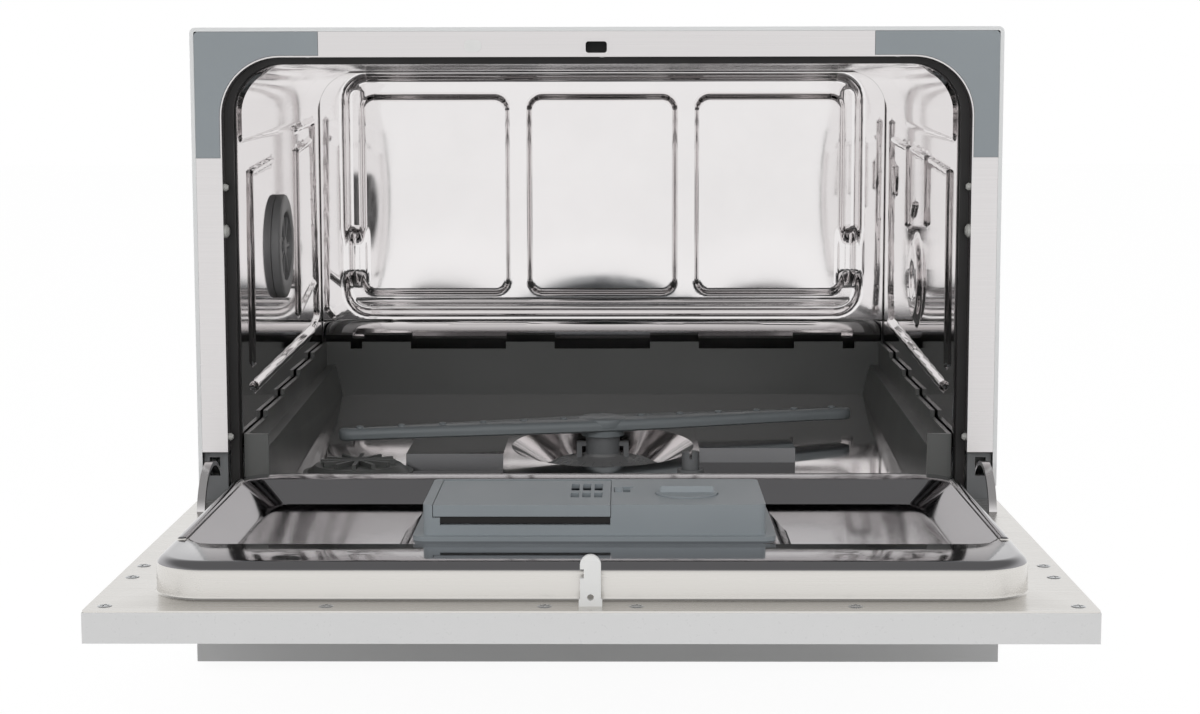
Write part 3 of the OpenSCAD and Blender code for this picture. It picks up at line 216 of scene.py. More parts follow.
def tint(nodes, links, source, colour, change, target):
    """Varies a colour by a share of itself along a noise."""
    ramp = nodes.new("ShaderNodeValToRGB")
    dark, light = ramp.color_ramp.elements
    dark.position, light.position = NOISE_LOW, NOISE_HIGH
    dark.color = [c * (1 - change) for c in colour] + [1]
    light.color = [min(c * (1 + change), 1) for c in colour] + [1]
    links.new(source, ramp.inputs["Fac"])
    links.new(ramp.outputs["Color"], target)


def bump(nodes, links, source, strength, distance, shader, previous=None):
    """Adds a bump from a noise to the shader's normal."""
    node = nodes.new("ShaderNodeBump")
    node.inputs["Strength"].default_value = strength
    node.inputs["Distance"].default_value = distance
    links.new(source, node.inputs["Height"])
    if previous is not None:
        links.new(previous.outputs["Normal"], node.inputs["Normal"])
    links.new(node.outputs["Normal"], shader.inputs["Normal"])
    return node


def brushed_steel(name, colour, along, roughness=0.3):
    """Sheet with fine brush lines along X, Y or Z."""
    material, nodes, links, shader = new_material(name)
    stretch = [900.0, 900.0, 900.0]
    stretch["XYZ".index(along)] = 6.0
    lines = mapped_noise(nodes, links, stretch, 1.0, 4.0, 0.6)
    cloud = mapped_noise(nodes, links, (4, 4, 4), 2.0, 2.0)
    shader.inputs["Metallic"].default_value = 1.0
    tint(nodes, links, lines.outputs["Fac"], colour, 0.035, shader.inputs["Base Color"])
    vary(nodes, links, lines.outputs["Fac"], roughness - 0.04, roughness + 0.06,
         shader.inputs["Roughness"])
    first = bump(nodes, links, lines.outputs["Fac"], 0.12, 0.00008, shader)
    bump(nodes, links, cloud.outputs["Fac"], 0.05, 0.0015, shader, first)
    return material


def bright_steel(name, colour, roughness=0.11, wave=0.12, change=0.03):
    """Bright rolled sheet with the faint waves that pressing leaves in it."""
    material, nodes, links, shader = new_material(name)
    waves = mapped_noise(nodes, links, (5, 5, 5), 1.0, 1.5)
    grain = mapped_noise(nodes, links, (300, 300, 40), 1.0, 3.0)
    haze = mapped_noise(nodes, links, (9, 9, 9), 1.0, 4.0, 0.6)
    shader.inputs["Metallic"].default_value = 1.0
    tint(nodes, links, haze.outputs["Fac"], colour, change, shader.inputs["Base Color"])
    vary(nodes, links, haze.outputs["Fac"], roughness - 0.03, roughness + 0.04,
         shader.inputs["Roughness"])
    first = bump(nodes, links, grain.outputs["Fac"], 0.03, 0.0001, shader)
    bump(nodes, links, waves.outputs["Fac"], wave, 0.004, shader, first)
    return material


def moulded_plastic(name, colour, roughness=0.42, grain=0.10, size=1400.0, coat=0.0):
    """Moulded plastic with a fine eroded grain and slight shading from the mould."""
    material, nodes, links, shader = new_material(name)
    fine = mapped_noise(nodes, links, (size, size, size), 1.0, 2.0)
    cloud = mapped_noise(nodes, links, (12, 12, 12), 1.0, 3.0)
    tint(nodes, links, cloud.outputs["Fac"], colour, 0.04, shader.inputs["Base Color"])
    vary(nodes, links, cloud.outputs["Fac"], roughness - 0.04, roughness + 0.05,
         shader.inputs["Roughness"])
    shader.inputs["Coat Weight"].default_value = coat
    bump(nodes, links, fine.outputs["Fac"], grain, 0.00006, shader)
    return material


def satin_paint(name, colour, roughness=0.36):
    """Powder paint on sheet metal, with its fine orange peel."""
    material, nodes, links, shader = new_material(name)
    peel = mapped_noise(nodes, links, (500, 500, 500), 1.0, 2.0)
    cloud = mapped_noise(nodes, links, (6, 6, 6), 1.0, 2.0)
    tint(nodes, links, cloud.outputs["Fac"], colour, 0.015, shader.inputs["Base Color"])
    vary(nodes, links, peel.outputs["Fac"], roughness - 0.03, roughness + 0.04,
         shader.inputs["Roughness"])
    bump(nodes, links, peel.outputs["Fac"], 0.06, 0.0001, shader)
    return material


def black_rubber(name, colour):
    """Matt rubber with a dusty bloom."""
    material, nodes, links, shader = new_material(name)
    bloom = mapped_noise(nodes, links, (40, 40, 40), 1.0, 4.0)
    fine = mapped_noise(nodes, links, (900, 900, 900), 1.0, 2.0)
    tint(nodes, links, bloom.outputs["Fac"], colour, 0.25, shader.inputs["Base Color"])
    vary(nodes, links, bloom.outputs["Fac"], 0.5, 0.65, shader.inputs["Roughness"])
    bump(nodes, links, fine.outputs["Fac"], 0.15, 0.0001, shader)
    return material


def circuit_board(name):
    """Green board with lighter tracks."""
    material, nodes, links, shader = new_material(name)
    tracks = mapped_noise(nodes, links, (60, 400, 400), 1.0, 1.0)
    tint(nodes, links, tracks.outputs["Fac"], (0.02, 0.12, 0.05), 0.4, shader.inputs["Base Color"])
    vary(nodes, links, tracks.outputs["Fac"], 0.3, 0.45, shader.inputs["Roughness"])
    return material


FINISHES = {}


def make_finishes():
    """One material for each of the record's slots, and a few for single pieces."""
    c = colours()
    FINISHES.update({
        "case_paint": satin_paint("case_paint_satin", c.case_paint),
        "door_paint": satin_paint("door_paint_satin", c.door_paint, 0.3),
        "frame_steel": brushed_steel("frame_steel_brushed", c.frame_steel, "X"),
        "liner_steel": brushed_steel("liner_steel_brushed", c.liner_steel, "X", 0.24),
        "tub_steel": bright_steel("tub_steel_bright", c.tub_steel, 0.06, 0.07),
        "floor_steel": bright_steel("floor_steel_bright", c.tub_steel, 0.07, 0.06),
        # The darker steel of the liner's upward faces is a painted reflection.
        "dark_reflection_steel": bright_steel("dark_reflection_steel_bright", c.dark_reflection_steel, 0.09, 0.05),
        "trim_steel": brushed_steel("trim_steel_satin", c.frame_steel, "X", 0.34),
        "arm_plastic": moulded_plastic("arm_plastic_satin", c.arm_plastic, 0.34),
        "strap_steel": bright_steel("strap_steel_plated", c.tub_steel, 0.16, 0.05),
        "plinth_paint": satin_paint("plinth_paint_satin", c.plinth_paint, 0.4),
        # The darker steel of the floor's block fronts is painted shade.
        "shade_steel": bright_steel("shade_steel_dark", c.shade_steel, 0.2, 0.05),
        "bell_plastic": moulded_plastic("bell_plastic_satin", c.vent_plastic, 0.42),
        "vent_plastic": moulded_plastic("vent_plastic_satin", c.vent_plastic, 0.4),
        "stud_plastic": moulded_plastic("stud_plastic_satin", c.stud_plastic, 0.3),
        "zinc_steel": brushed_steel("zinc_steel_plated", c.zinc_steel, "Z", 0.25),
        "cover_plastic": moulded_plastic("cover_plastic_satin", c.cover_plastic, 0.4),
        "grey_plastic": moulded_plastic("grey_plastic_satin", c.grey_plastic, 0.45),
        "dark_plastic": moulded_plastic("dark_plastic_satin", c.dark_plastic, 0.32),
        "black_plastic": moulded_plastic("black_plastic_satin", (0.015, 0.015, 0.016), 0.4),
        "white_plastic": moulded_plastic("white_plastic_gloss", c.white_plastic, 0.25, 0.05),
        "window_black": moulded_plastic("window_black_gloss", (0.01, 0.01, 0.012), 0.08, 0.0),
        "rubber": black_rubber("rubber_black", c.rubber),
        "board_green": circuit_board("board_green"),
    })


# Mesh helpers.

def mesh_piece(name, points, faces, finish, body, replaced=(), sharp=40.0):
    """A mesh object, shaded smooth up to a sharp angle, that rides on a body and stands for CAD nodes."""
    mesh = bpy.data.meshes.new(name)
    mesh.from_pydata([tuple(p) for p in points], [], faces)
    mesh.validate()
    work = bmesh.new()
    work.from_mesh(mesh)
    bmesh.ops.remove_doubles(work, verts=work.verts, dist=1e-6)
    bmesh.ops.recalc_face_normals(work, faces=work.faces)
    work.to_mesh(mesh)
    work.free()
    piece = bpy.data.objects.new(name, mesh)
    bpy.context.scene.collection.objects.link(piece)
    piece.data.materials.append(FINISHES[finish])
    piece.data.shade_smooth()
    piece.data.set_sharp_from_angle(angle=math.radians(sharp))
    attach(piece, body)
    if replaced:
        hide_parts(*replaced)
    return piece


def thicken(piece):
    """Gives an open sheet its thickness, on the side away from its normals."""
    solid = piece.modifiers.new("thickness", "SOLIDIFY")
    solid.thickness = SHEET
    solid.offset = -1.0
    solid.use_even_offset = True
    graph = bpy.context.evaluated_depsgraph_get()
    graph.update()
    baked = bpy.data.meshes.new_from_object(piece.evaluated_get(graph))
    piece.modifiers.clear()
    old = piece.data
    piece.data = baked
    bpy.data.meshes.remove(old)


def grid_faces(rows, columns, wrap=False):
    """Quads of a grid of points, closed round its columns where asked."""
    faces = []
    for i in range(rows - 1):
        for j in range(columns if wrap else columns - 1):
            k = (j + 1) % columns
            faces.append((i * columns + j, i * columns + k,
                          (i + 1) * columns + k, (i + 1) * columns + j))
    return faces


def ring(x0, x1, y0, y1, radius, z, segments=10):
    """Points round a rectangle with round corners, at one height."""
    radius = max(radius, 1e-5)
    points = []
    corners = [(x1 - radius, y1 - radius, 0), (x0 + radius, y1 - radius, 90),
               (x0 + radius, y0 + radius, 180), (x1 - radius, y0 + radius, 270)]
    for cx, cy, start in corners:
        for i in range(segments + 1):
            angle = math.radians(start + 90 * i / segments)
            points.append(Vector((cx + radius * math.cos(angle),
                                  cy + radius * math.sin(angle), z)))
    return points


def loft(rings, close_first=False, close_last=False):
    """Points and faces of a skin through rings of equal length."""
    count = len(rings[0])
    points = [p for r in rings for p in r]
    faces = grid_faces(len(rings), count, True)
    if close_first:
        faces.append(tuple(range(count - 1, -1, -1)))
    if close_last:
        last = (len(rings) - 1) * count
        faces.append(tuple(range(last, last + count)))
    return points, faces


def smooth_step(value):
    """Eases from 0 to 1."""
    value = min(max(value, 0.0), 1.0)
    return value * value * (3 - 2 * value)


def inside_rounded(x, y, x0, x1, y0, y1, radius):
    """Distance into a rectangle with round corners; negative outside it."""
    dx = abs(x - (x0 + x1) / 2) - ((x1 - x0) / 2 - radius)
    dy = abs(y - (y0 + y1) / 2) - ((y1 - y0) / 2 - radius)
    outside = math.hypot(max(dx, 0.0), max(dy, 0.0))
    return radius - outside - min(max(dx, dy), 0.0)


def to_line(x, y, points):
    """Distance from a point to a line through several points."""
    best = 1e9
    for (ax, ay), (bx, by) in zip(points, points[1:]):
        length = (bx - ax) ** 2 + (by - ay) ** 2
        t = min(max(((x - ax) * (bx - ax) + (y - ay) * (by - ay)) / length, 0.0), 1.0)
        best = min(best, math.hypot(x - ax - t * (bx - ax), y - ay - t * (by - ay)))
    return best


# Tub: one sheet bent over the ceiling and both sides, and a pressed back.

SHEET_SHARP = 60
TUB_MIDDLE = 300 * MM


def in_metres(*line):
    return [(a * MM, b * MM) for a, b in line]


# Ribs pressed into the side walls, as depth behind the front plane and height.
LEFT_RIBS = (
    in_metres((172, 344), (74, 338), (72, 202)),
    in_metres((384, 355), (305, 348), (305, 216), (398, 233)),
    in_metres((300, 366), (404, 371), (417, 202), (375, 192)),
)
RIGHT_RIBS = (
    in_metres((154, 344), (58, 338), (56, 202)),
    in_metres((260, 350), (176, 345), (174, 296)),
    in_metres((387, 355), (287, 350), (288, 289)),
    in_metres((404, 369), (398, 222), (388, 198)),
    in_metres((375, 332), (376, 310)),
    in_metres((242, 307), (254, 298)),
)
LEFT_DRIP = in_metres((378, 193), (78, 184))
RIGHT_DRIP = in_metres((390, 199), (72, 185))

# Raised lands under the ceiling: their lower edge, their top, and the depths where they end.
LAND_FOOT = ((84, 360), (406, 370))
LAND_TOP = 409 * MM
LAND_START = 20 * MM
LAND_CORNER = 17 * MM
LEFT_LAND_ENDS = (345, 224)
RIGHT_LAND_ENDS = (320, 200)

# Round boss of the right wall.
BOSS_DEPTH, BOSS_UP, BOSS_RADIUS = 228 * MM, 249 * MM, 37 * MM


def wall_height(y, z, ribs, drip, ends):
    """How far a side wall stands into the tub at a depth and a height."""
    s = sizes()
    height = 0.0
    for line in ribs:
        height = max(height, s.rib_height * smooth_step(1.45 - to_line(y, z, line) / (2.4 * MM)))
    height = max(height, 1.3 * s.rib_height * smooth_step(1.8 - to_line(y, z, drip) / (2.6 * MM)))
    (y0, z0), (y1, z1) = LAND_FOOT
    foot = (z0 + (y / MM - y0) * (z1 - z0) / (y1 - y0)) * MM
    for end in ends:
        land = inside_rounded(y, z, LAND_START, end * MM, foot, LAND_TOP, LAND_CORNER)
        height += 0.55 * s.land_height * smooth_step(land / (5 * MM))
    return height


def left_wall_height(y, z):
    return wall_height(y, z, LEFT_RIBS, LEFT_DRIP, LEFT_LAND_ENDS)


def right_wall_height(y, z):
    """The right wall also has a round boss."""
    height = wall_height(y, z, RIGHT_RIBS, RIGHT_DRIP, RIGHT_LAND_ENDS)
    boss = BOSS_RADIUS - math.hypot(y - BOSS_DEPTH, z - BOSS_UP)
    height += 4 * MM * smooth_step(boss / (9 * MM))
    height -= 2 * MM * smooth_step((boss - 20 * MM) / (9 * MM))
    return height


def build_tub():
    """The bent sheet, its flare at the front and its presswork."""
    low = WRAP_LOW[2]
    r = sizes().tub_radius
    step = sizes().sheet_step
    side = TUB_TOP - r - low
    arc = math.pi / 2 * r
    top = 2 * (TUB_HALF - r)

    def place(s):
        """Point of the arch at a run s, with its inward normal."""
        if s < side:
            return -TUB_HALF, low + s, 1.0, 0.0
        s -= side
        if s < arc:
            a = s / r
            return (r - TUB_HALF - r * math.cos(a), TUB_TOP - r + r * math.sin(a),
                    math.cos(a), -math.sin(a))
        s -= arc
        if s < top:
            return r - TUB_HALF + s, TUB_TOP, 0.0, -1.0
        s -= top
        if s < arc:
            a = s / r
            return (TUB_HALF - r + r * math.sin(a), TUB_TOP - r + r * math.cos(a),
                    -math.sin(a), -math.cos(a))
        return TUB_HALF, TUB_TOP - r - (s - arc), -1.0, 0.0

    runs = []
    start = 0.0
    for length, spacing in ((side, step), (arc, 1.5 * step), (top, 12 * MM), (arc, 1.5 * step),
                            (side, step)):
        count = max(int(length / spacing), 2)
        runs += [start + length * i / count for i in range(count)]
        start += length
    runs.append(start - 1e-7)
    depths = [TUB_FRONT, TUB_FRONT + 0.8 * MM]
    count = int((TUB_BACK - TUB_FRONT - 2 * MM) / step)
    depths += [TUB_FRONT + 2 * MM + (TUB_BACK - TUB_FRONT - 2 * MM) * j / count
               for j in range(count + 1)]
    flare = [1.0 * MM, 0.3 * MM]
    points = []
    for s in runs:
        x, z, nx, nz = place(s)
        for j, y in enumerate(depths):
            inward = -flare[j] if j < 2 else 0.0
            if 3 < j < len(depths) - 4:
                deep = y - FRONT_PLANE
                level = z if nz > -0.5 else z - TUB_TOP + LAND_TOP
                if x < -TUB_HALF + r:
                    inward += left_wall_height(deep, min(z, level))
                elif x > TUB_HALF - r:
                    inward += right_wall_height(deep, min(z, level))
            points.append((x + nx * inward, y, z + nz * inward))
    faces = grid_faces(len(runs), len(depths))
    piece = mesh_piece("tub_skin", points, faces, "tub_steel", "cabinet",
                       ["tub_wrap"], SHEET_SHARP)
    turn_towards(piece, (0, (TUB_FRONT + TUB_BACK) / 2, TUB_MIDDLE))
    thicken(piece)


# Large pressed field of the back and the three panels that stand out of it.
FIELD_HALF, FIELD_FOOT, FIELD_HEAD, FIELD_CORNER = 229.2 * MM, 198.4 * MM, 412 * MM, 24 * MM
PANEL_MIDDLES = (-147.2 * MM, 0.0, 147.2 * MM)
PANEL_HALF, PANEL_FOOT, PANEL_HEAD, PANEL_CORNER = 66.5 * MM, 217 * MM, 394 * MM, 14 * MM
PANEL_MIDDLE_UP, PANEL_HALF_UP = 305.5 * MM, 88.5 * MM

# Narrow channels at the field's sides, and the raised foot of each.
CHANNEL_X, CHANNEL_HALF, CHANNEL_CORNER = 216.5 * MM, 8 * MM, 7.5 * MM
CHANNEL_FOOT, CHANNEL_HEAD = 272 * MM, 402 * MM
STEP_X, STEP_HALF = 218 * MM, 12.5 * MM
STEP_FOOT, STEP_HEAD = 224 * MM, 280 * MM


def build_tub_back():
    """The pressed back panel as a sheet of depths."""
    step = sizes().sheet_step * 0.8
    low = TUB_LOW[2]
    columns = int(2 * TUB_HALF / step)
    rows = int((TUB_TOP - low) / step)
    points = []
    for i in range(rows + 1):
        z = low + (TUB_TOP - low) * i / rows
        for j in range(columns + 1):
            x = -TUB_HALF + 2 * TUB_HALF * j / columns
            points.append((x, TUB_BACK + back_depth(x, z), z))
    faces = grid_faces(rows + 1, columns + 1)
    piece = mesh_piece("tub_back_skin", points, faces, "tub_steel", "cabinet",
                       ["tub_back"], SHEET_SHARP)
    turn_towards(piece, (0, TUB_FRONT, TUB_MIDDLE))
    thicken(piece)


def back_depth(x, z):
    """How far the back panel is pressed back at a point."""
    s = sizes()
    field = inside_rounded(x, z, -FIELD_HALF, FIELD_HALF, FIELD_FOOT, FIELD_HEAD, FIELD_CORNER)
    depth = s.frame_press * smooth_step(field / (7 * MM))
    for middle in PANEL_MIDDLES:
        panel = inside_rounded(x, z, middle - PANEL_HALF, middle + PANEL_HALF,
                               PANEL_FOOT, PANEL_HEAD, PANEL_CORNER)
        depth -= s.panel_press * smooth_step(panel / (5 * MM))
        across = min(abs(x - middle) / PANEL_HALF, 1.0)
        upward = min(abs(z - PANEL_MIDDLE_UP) / PANEL_HALF_UP, 1.0)
        depth -= s.panel_crown * (1 - across ** 2) * (1 - upward ** 2)
    foot = smooth_step((214 * MM - z) / (13 * MM)) * smooth_step(field / (9 * MM))
    depth += 4.2 * MM * foot
    depth += 12 * MM * smooth_step((196 * MM - z) / (38 * MM))
    for side in (-1, 1):
        channel = inside_rounded(x, z, side * CHANNEL_X - CHANNEL_HALF, side * CHANNEL_X + CHANNEL_HALF,
                                 CHANNEL_FOOT, CHANNEL_HEAD, CHANNEL_CORNER)
        depth += 1.6 * MM * smooth_step(channel / (4 * MM))
        across = min(abs(x - side * STEP_X) / STEP_HALF, 1.0)
        round_front = smooth_step(1.15 * (1 - across))
        below = smooth_step((z - STEP_FOOT) / (16 * MM))
        above = smooth_step((STEP_HEAD - z) / (20 * MM))
        depth -= 7 * MM * round_front * below * above
    return depth


def turn_towards(piece, point):
    """Turns a sheet's faces so that they look towards a point inside the tub."""
    mesh = piece.data
    target = Vector(point)
    score = sum((target - face.center).dot(face.normal) * face.area for face in mesh.polygons)
    if score < 0:
        mesh.flip_normals()


# Door liner.

# How far up a face of the pressed field looks before it has the darker steel, which is a painted
# reflection of the dark tub and dispenser.
PAINTED_REFLECTION_LEAN = 0.3
SCREW_RADIUS, SCREW_CROWN = 4.2 * MM, 1.1 * MM
SCREW_TURNS, SCREW_ROWS = 32, 9


def build_liner():
    """Flange, pressed field, recess and dispenser land of the door liner, as lofted sheet."""
    x1 = LINER_HIGH[0]
    y0, y1 = LINER_LOW[1], LINER_HIGH[1]
    rim = LINER_HIGH[2]
    flange = LINER_FLANGE
    half = TUB_HALF - 3 * MM
    tip = FRONT_PLANE - 319 * MM
    rear = FRONT_PLANE - 12.5 * MM
    e = sizes().liner_rim
    corner = 31 * MM
    floor = rim - 15 * MM
    rx, ry0, ry1 = 235 * MM, tip + 55 * MM, rear - 30 * MM
    rings = [ring(-x1, x1, y0, y1, 2 * MM, flange - 1 * MM), ring(-x1, x1, y0, y1, 2 * MM, flange)]
    for out, up in ((2.5, 0), (0.9, 0.3), (0.25, 1.0), (0, 2.4)):
        rings.append(ring(-half - out * MM, half + out * MM, tip - out * MM,
                          rear + min(out, 1.2) * MM, corner + out * MM, flange + up * MM))
    rings.append(ring(-half, half, tip, rear, corner, rim - e))
    for i in range(1, 9):
        a = math.radians(90 * i / 8)
        inset = e * (1 - math.cos(a))
        rings.append(ring(-half + inset, half - inset, tip + inset, rear - inset,
                          corner - inset, rim - e + e * math.sin(a)))
    for out, down in ((1.6, 0), (0.5, 0.3), (-0.6, 1.2)):
        rings.append(ring(-rx - out * MM, rx + out * MM, ry0 - out * MM, ry1 + out * MM,
                          (20 + out) * MM, rim - down * MM))
    wide, long = 19 * MM, 14 * MM
    for out, up, radius in ((1.3, 1.4, 15), (0.2, 0.4, 14.3), (-1.6, 0, 13)):
        rings.append(ring(-rx + wide - out * MM, rx - wide + out * MM, ry0 + long - out * MM,
                          ry1 - long + out * MM, radius * MM, floor + up * MM))
    points, faces = loft(rings, close_last=True)
    x0, x1 = HOUSING_LOW[0] - 1 * MM, HOUSING_HIGH[0] + 1 * MM
    land_front, land_rear = ry0 + 3 * MM, HOUSING_HIGH[1] + 1 * MM
    land_rings = []
    for out, up in ((12.5, -0.4), (11, 0.4), (10, 1.4), (1.4, 11.7), (0.4, 12.6), (-0.8, 13)):
        land_rings.append(ring(x0 - out * MM, x1 + out * MM, land_front - out * 0.2 * MM,
                               land_rear + out * MM, (8 + 0.5 * max(out, 0)) * MM,
                               floor + up * MM, 10))
    more, more_faces = loft(land_rings, close_last=True)
    for side in (-1, 1):
        bead = []
        for inset, up in ((0, -0.5), (0.3, 0.6), (1.2, 1.3), (2.4, 1.6)):
            bead.append(ring(side * 238 * MM - (3 - inset) * MM, side * 238 * MM + (3 - inset) * MM,
                             ry0 + (10 + inset) * MM, ry1 - (6 + inset) * MM, (2.9 - inset) * MM,
                             rim + up * MM, 6))
        bead_points, bead_faces = loft(bead, close_last=True)
        more, more_faces = joined(more, more_faces, bead_points, bead_faces)
    points, faces = joined(points, faces, more, more_faces)
    piece = mesh_piece("door_liner_skin", points, faces, "liner_steel", "door",
                       ["door_liner"], 22)
    # The upward faces of the pressed field get the darker steel: a painted reflection of the dark tub and
    # dispenser.
    piece.data.materials.append(FINISHES["dark_reflection_steel"])
    for face in piece.data.polygons:
        if face.normal.z > PAINTED_REFLECTION_LEAN and face.center.z > flange + 4 * MM:
            face.material_index = 1


def joined(points, faces, more, more_faces):
    """Two sets of points and faces as one."""
    shift = len(points)
    return list(points) + list(more), faces + [tuple(i + shift for i in f) for f in more_faces]


def build_screws():
    """Cross head screws round the liner's flange."""
    points, faces = [], []
    tip = SCREWS_LOW[1] + 3.6 * MM
    places = [(s * x * MM, tip) for s in (-1, 1) for x in (265, 144.1, 25)]
    places += [(s * 266 * MM, LINER_LOW[1] + y * MM) for s in (-1, 1) for y in (87.4, 119.4)]
    crown = min(SCREWS_HIGH[2] - LINER_FLANGE, SCREW_CROWN)
    for x, y in places:
        more, more_faces = screw_head(x, y, LINER_FLANGE, crown)
        points, faces = joined(points, faces, more, more_faces)
    mesh_piece("flange_screw_heads", points, faces, "zinc_steel", "door",
               ["flange_screws"], 50)


def screw_head(x, y, z, crown):
    """Low domed screw head with a cross cut into it."""
    radius, rows, turns = SCREW_RADIUS, SCREW_ROWS, SCREW_TURNS
    points = []
    for i in range(rows + 1):
        r = radius * (1 - i / rows) if i < rows else radius * 0.02
        for j in range(turns):
            a = 2 * math.pi * (j + 0.5) / turns
            px, py = r * math.cos(a), r * math.sin(a)
            height = crown * math.sqrt(max(1 - (r / radius) ** 2, 0)) ** 0.8
            arm = min(abs(px), abs(py))
            if arm < 0.55 * MM and r < 0.6 * radius:
                height -= 0.6 * crown
            points.append((x + px, y + py, z + height))
    faces = grid_faces(rows + 1, turns, True)
    faces.append(tuple(range(rows * turns, (rows + 1) * turns)))
    return points, faces


# Bell round the foot of the spray hub.

BELL_RIBS = 24
BELL_RIB_HALF = 0.7 * MM


def build_bell():
    """Bell shaped lid over the filter, with fine ribs from its edge to the hub's foot."""
    low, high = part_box("filter_lid")
    cx, cy = (low[0] + high[0]) / 2, (low[1] + high[1]) / 2
    profile = ((44.5, 97.2), (44.8, 98.6), (44, 100), (41, 102.4), (36, 104.6), (30, 106.2),
               (23, 107.4), (17, 108.2), (14.6, 109.2), (14.2, 111))
    points, faces = loft([circle_ring(cx, cy, r * MM, z * MM, 72) for r, z in profile], True, True)
    for i in range(BELL_RIBS):
        a = 2 * math.pi * i / BELL_RIBS
        dx, dy = BELL_RIB_HALF * math.sin(a), -BELL_RIB_HALF * math.cos(a)
        rib = []
        for out, up in ((43.5, 100.9), (36, 105.1), (27, 107.2)):
            x, y = cx + out * MM * math.cos(a), cy + out * MM * math.sin(a)
            rib.append([Vector((x + dx, y + dy, (up - 1) * MM)),
                        Vector((x + dx, y + dy, (up + 0.3) * MM)),
                        Vector((x - dx, y - dy, (up + 0.3) * MM)),
                        Vector((x - dx, y - dy, (up - 1) * MM))])
        more, more_faces = loft(rib, True, True)
        points, faces = joined(points, faces, more, more_faces)
    mesh_piece("hub_bell", points, faces, "bell_plastic", "cabinet",
               ["filter_lid"], 40)


# Spray arm.

# Outline of the blade: points round it, half width at the middle, how much it narrows, end radius.
BLADE_POINTS = 72
BLADE_HALF, BLADE_TAPER, BLADE_END = 19, 10.5, 12 * MM
# Height over the arm's plate, and growth of the outline there, in millimetres.
BLADE_LEVELS = ((-9.6, -2.4), (-9.1, -1.0), (-7.8, -0.2), (-5.0, 0), (-2.4, -0.1), (-0.9, -0.7),
                (-0.1, -2.0), (0.3, -4.6))
# Radius and height over the plate of the arm's hub, in millimetres.
ARM_HUB = ((17, -13.7), (17, -7), (19.5, -6), (20.5, -2), (19.5, 0.2), (16, 1.3), (9, 1.9))


def build_arm():
    """Moulded arm: a blade that narrows to its round ends, with a hub and raised nozzles."""
    low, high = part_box("spray_arm")
    middle = [(a + b) / 2 for a, b in zip(low, high)]
    half_x, half_y = (high[0] - low[0]) / 2, (high[1] - low[1]) / 2
    reach = math.hypot(half_x, half_y) - 1.5 * MM
    angle = math.atan2(half_y - 9 * MM, half_x - 9 * MM)
    plate = high[2] - 2.2 * MM
    rings = []
    for up, grow in BLADE_LEVELS:
        outline = []
        for i in range(BLADE_POINTS):
            a = 2 * math.pi * (i + 0.5) / BLADE_POINTS
            x = reach * math.cos(a)
            share = abs(x) / reach
            width = (BLADE_HALF - BLADE_TAPER * smooth_step(share * 1.1)) * MM
            into_end = max(abs(x) - reach + BLADE_END, 0)
            tip_round = math.sqrt(max(1 - into_end ** 2 / BLADE_END ** 2, 0))
            y = math.copysign(width * tip_round, math.sin(a))
            y = y * min(abs(math.sin(a)) * 9, 1)
            scale_in = 1 + grow * MM / (0.5 * width)
            outline.append(Vector((x * (1 + grow * MM / reach), y * scale_in,
                                   plate + up * MM)))
        rings.append(outline)
    points, faces = loft(rings, True, True)
    for x, radius, height in arm_nozzles(reach):
        bumps, bump_faces = nozzle(x, (1.5 if x > 0 else -1.5) * MM, plate, radius, height)
        points, faces = joined(points, faces, bumps, bump_faces)
    hub = [circle_ring(0, 0, r * MM, plate + up * MM) for r, up in ARM_HUB]
    hub_points, hub_faces = loft(hub, True, True)
    points, faces = joined(points, faces, hub_points, hub_faces)
    turned = Matrix.Rotation(angle, 3, "Z")
    placed = [turned @ Vector(p) + Vector((middle[0], middle[1], 0)) for p in points]
    mesh_piece("spray_arm_blade", placed, faces, "arm_plastic", "spray_arm",
               ["spray_arm"], 40)


def arm_nozzles(reach):
    """Place along the arm, radius and height of each nozzle."""
    count = sizes().arm_jets
    return [(s * (reach - 16 * MM) * i / count, 3.2 * MM, 1.6 * MM)
            for s in (-1, 1) for i in range(1, count + 1)]


def circle_ring(x, y, r, z, count=40):
    return [Vector((x + r * math.cos(2 * math.pi * i / count),
                    y + r * math.sin(2 * math.pi * i / count), z)) for i in range(count)]


def nozzle(x, y, z, radius, height):
    """Raised round nozzle with a hole in its top."""
    steps = ((1.0, -0.4), (0.95, 0.5), (0.8, 0.9), (0.6, 1.0), (0.42, 0.9), (0.36, -0.6))
    rings = [circle_ring(x, y, radius * r, z + height * up, 16) for r, up in steps]
    return loft(rings, close_last=True)


# Vent.

VENT_POINTS = 72
VENT_BARS = 7


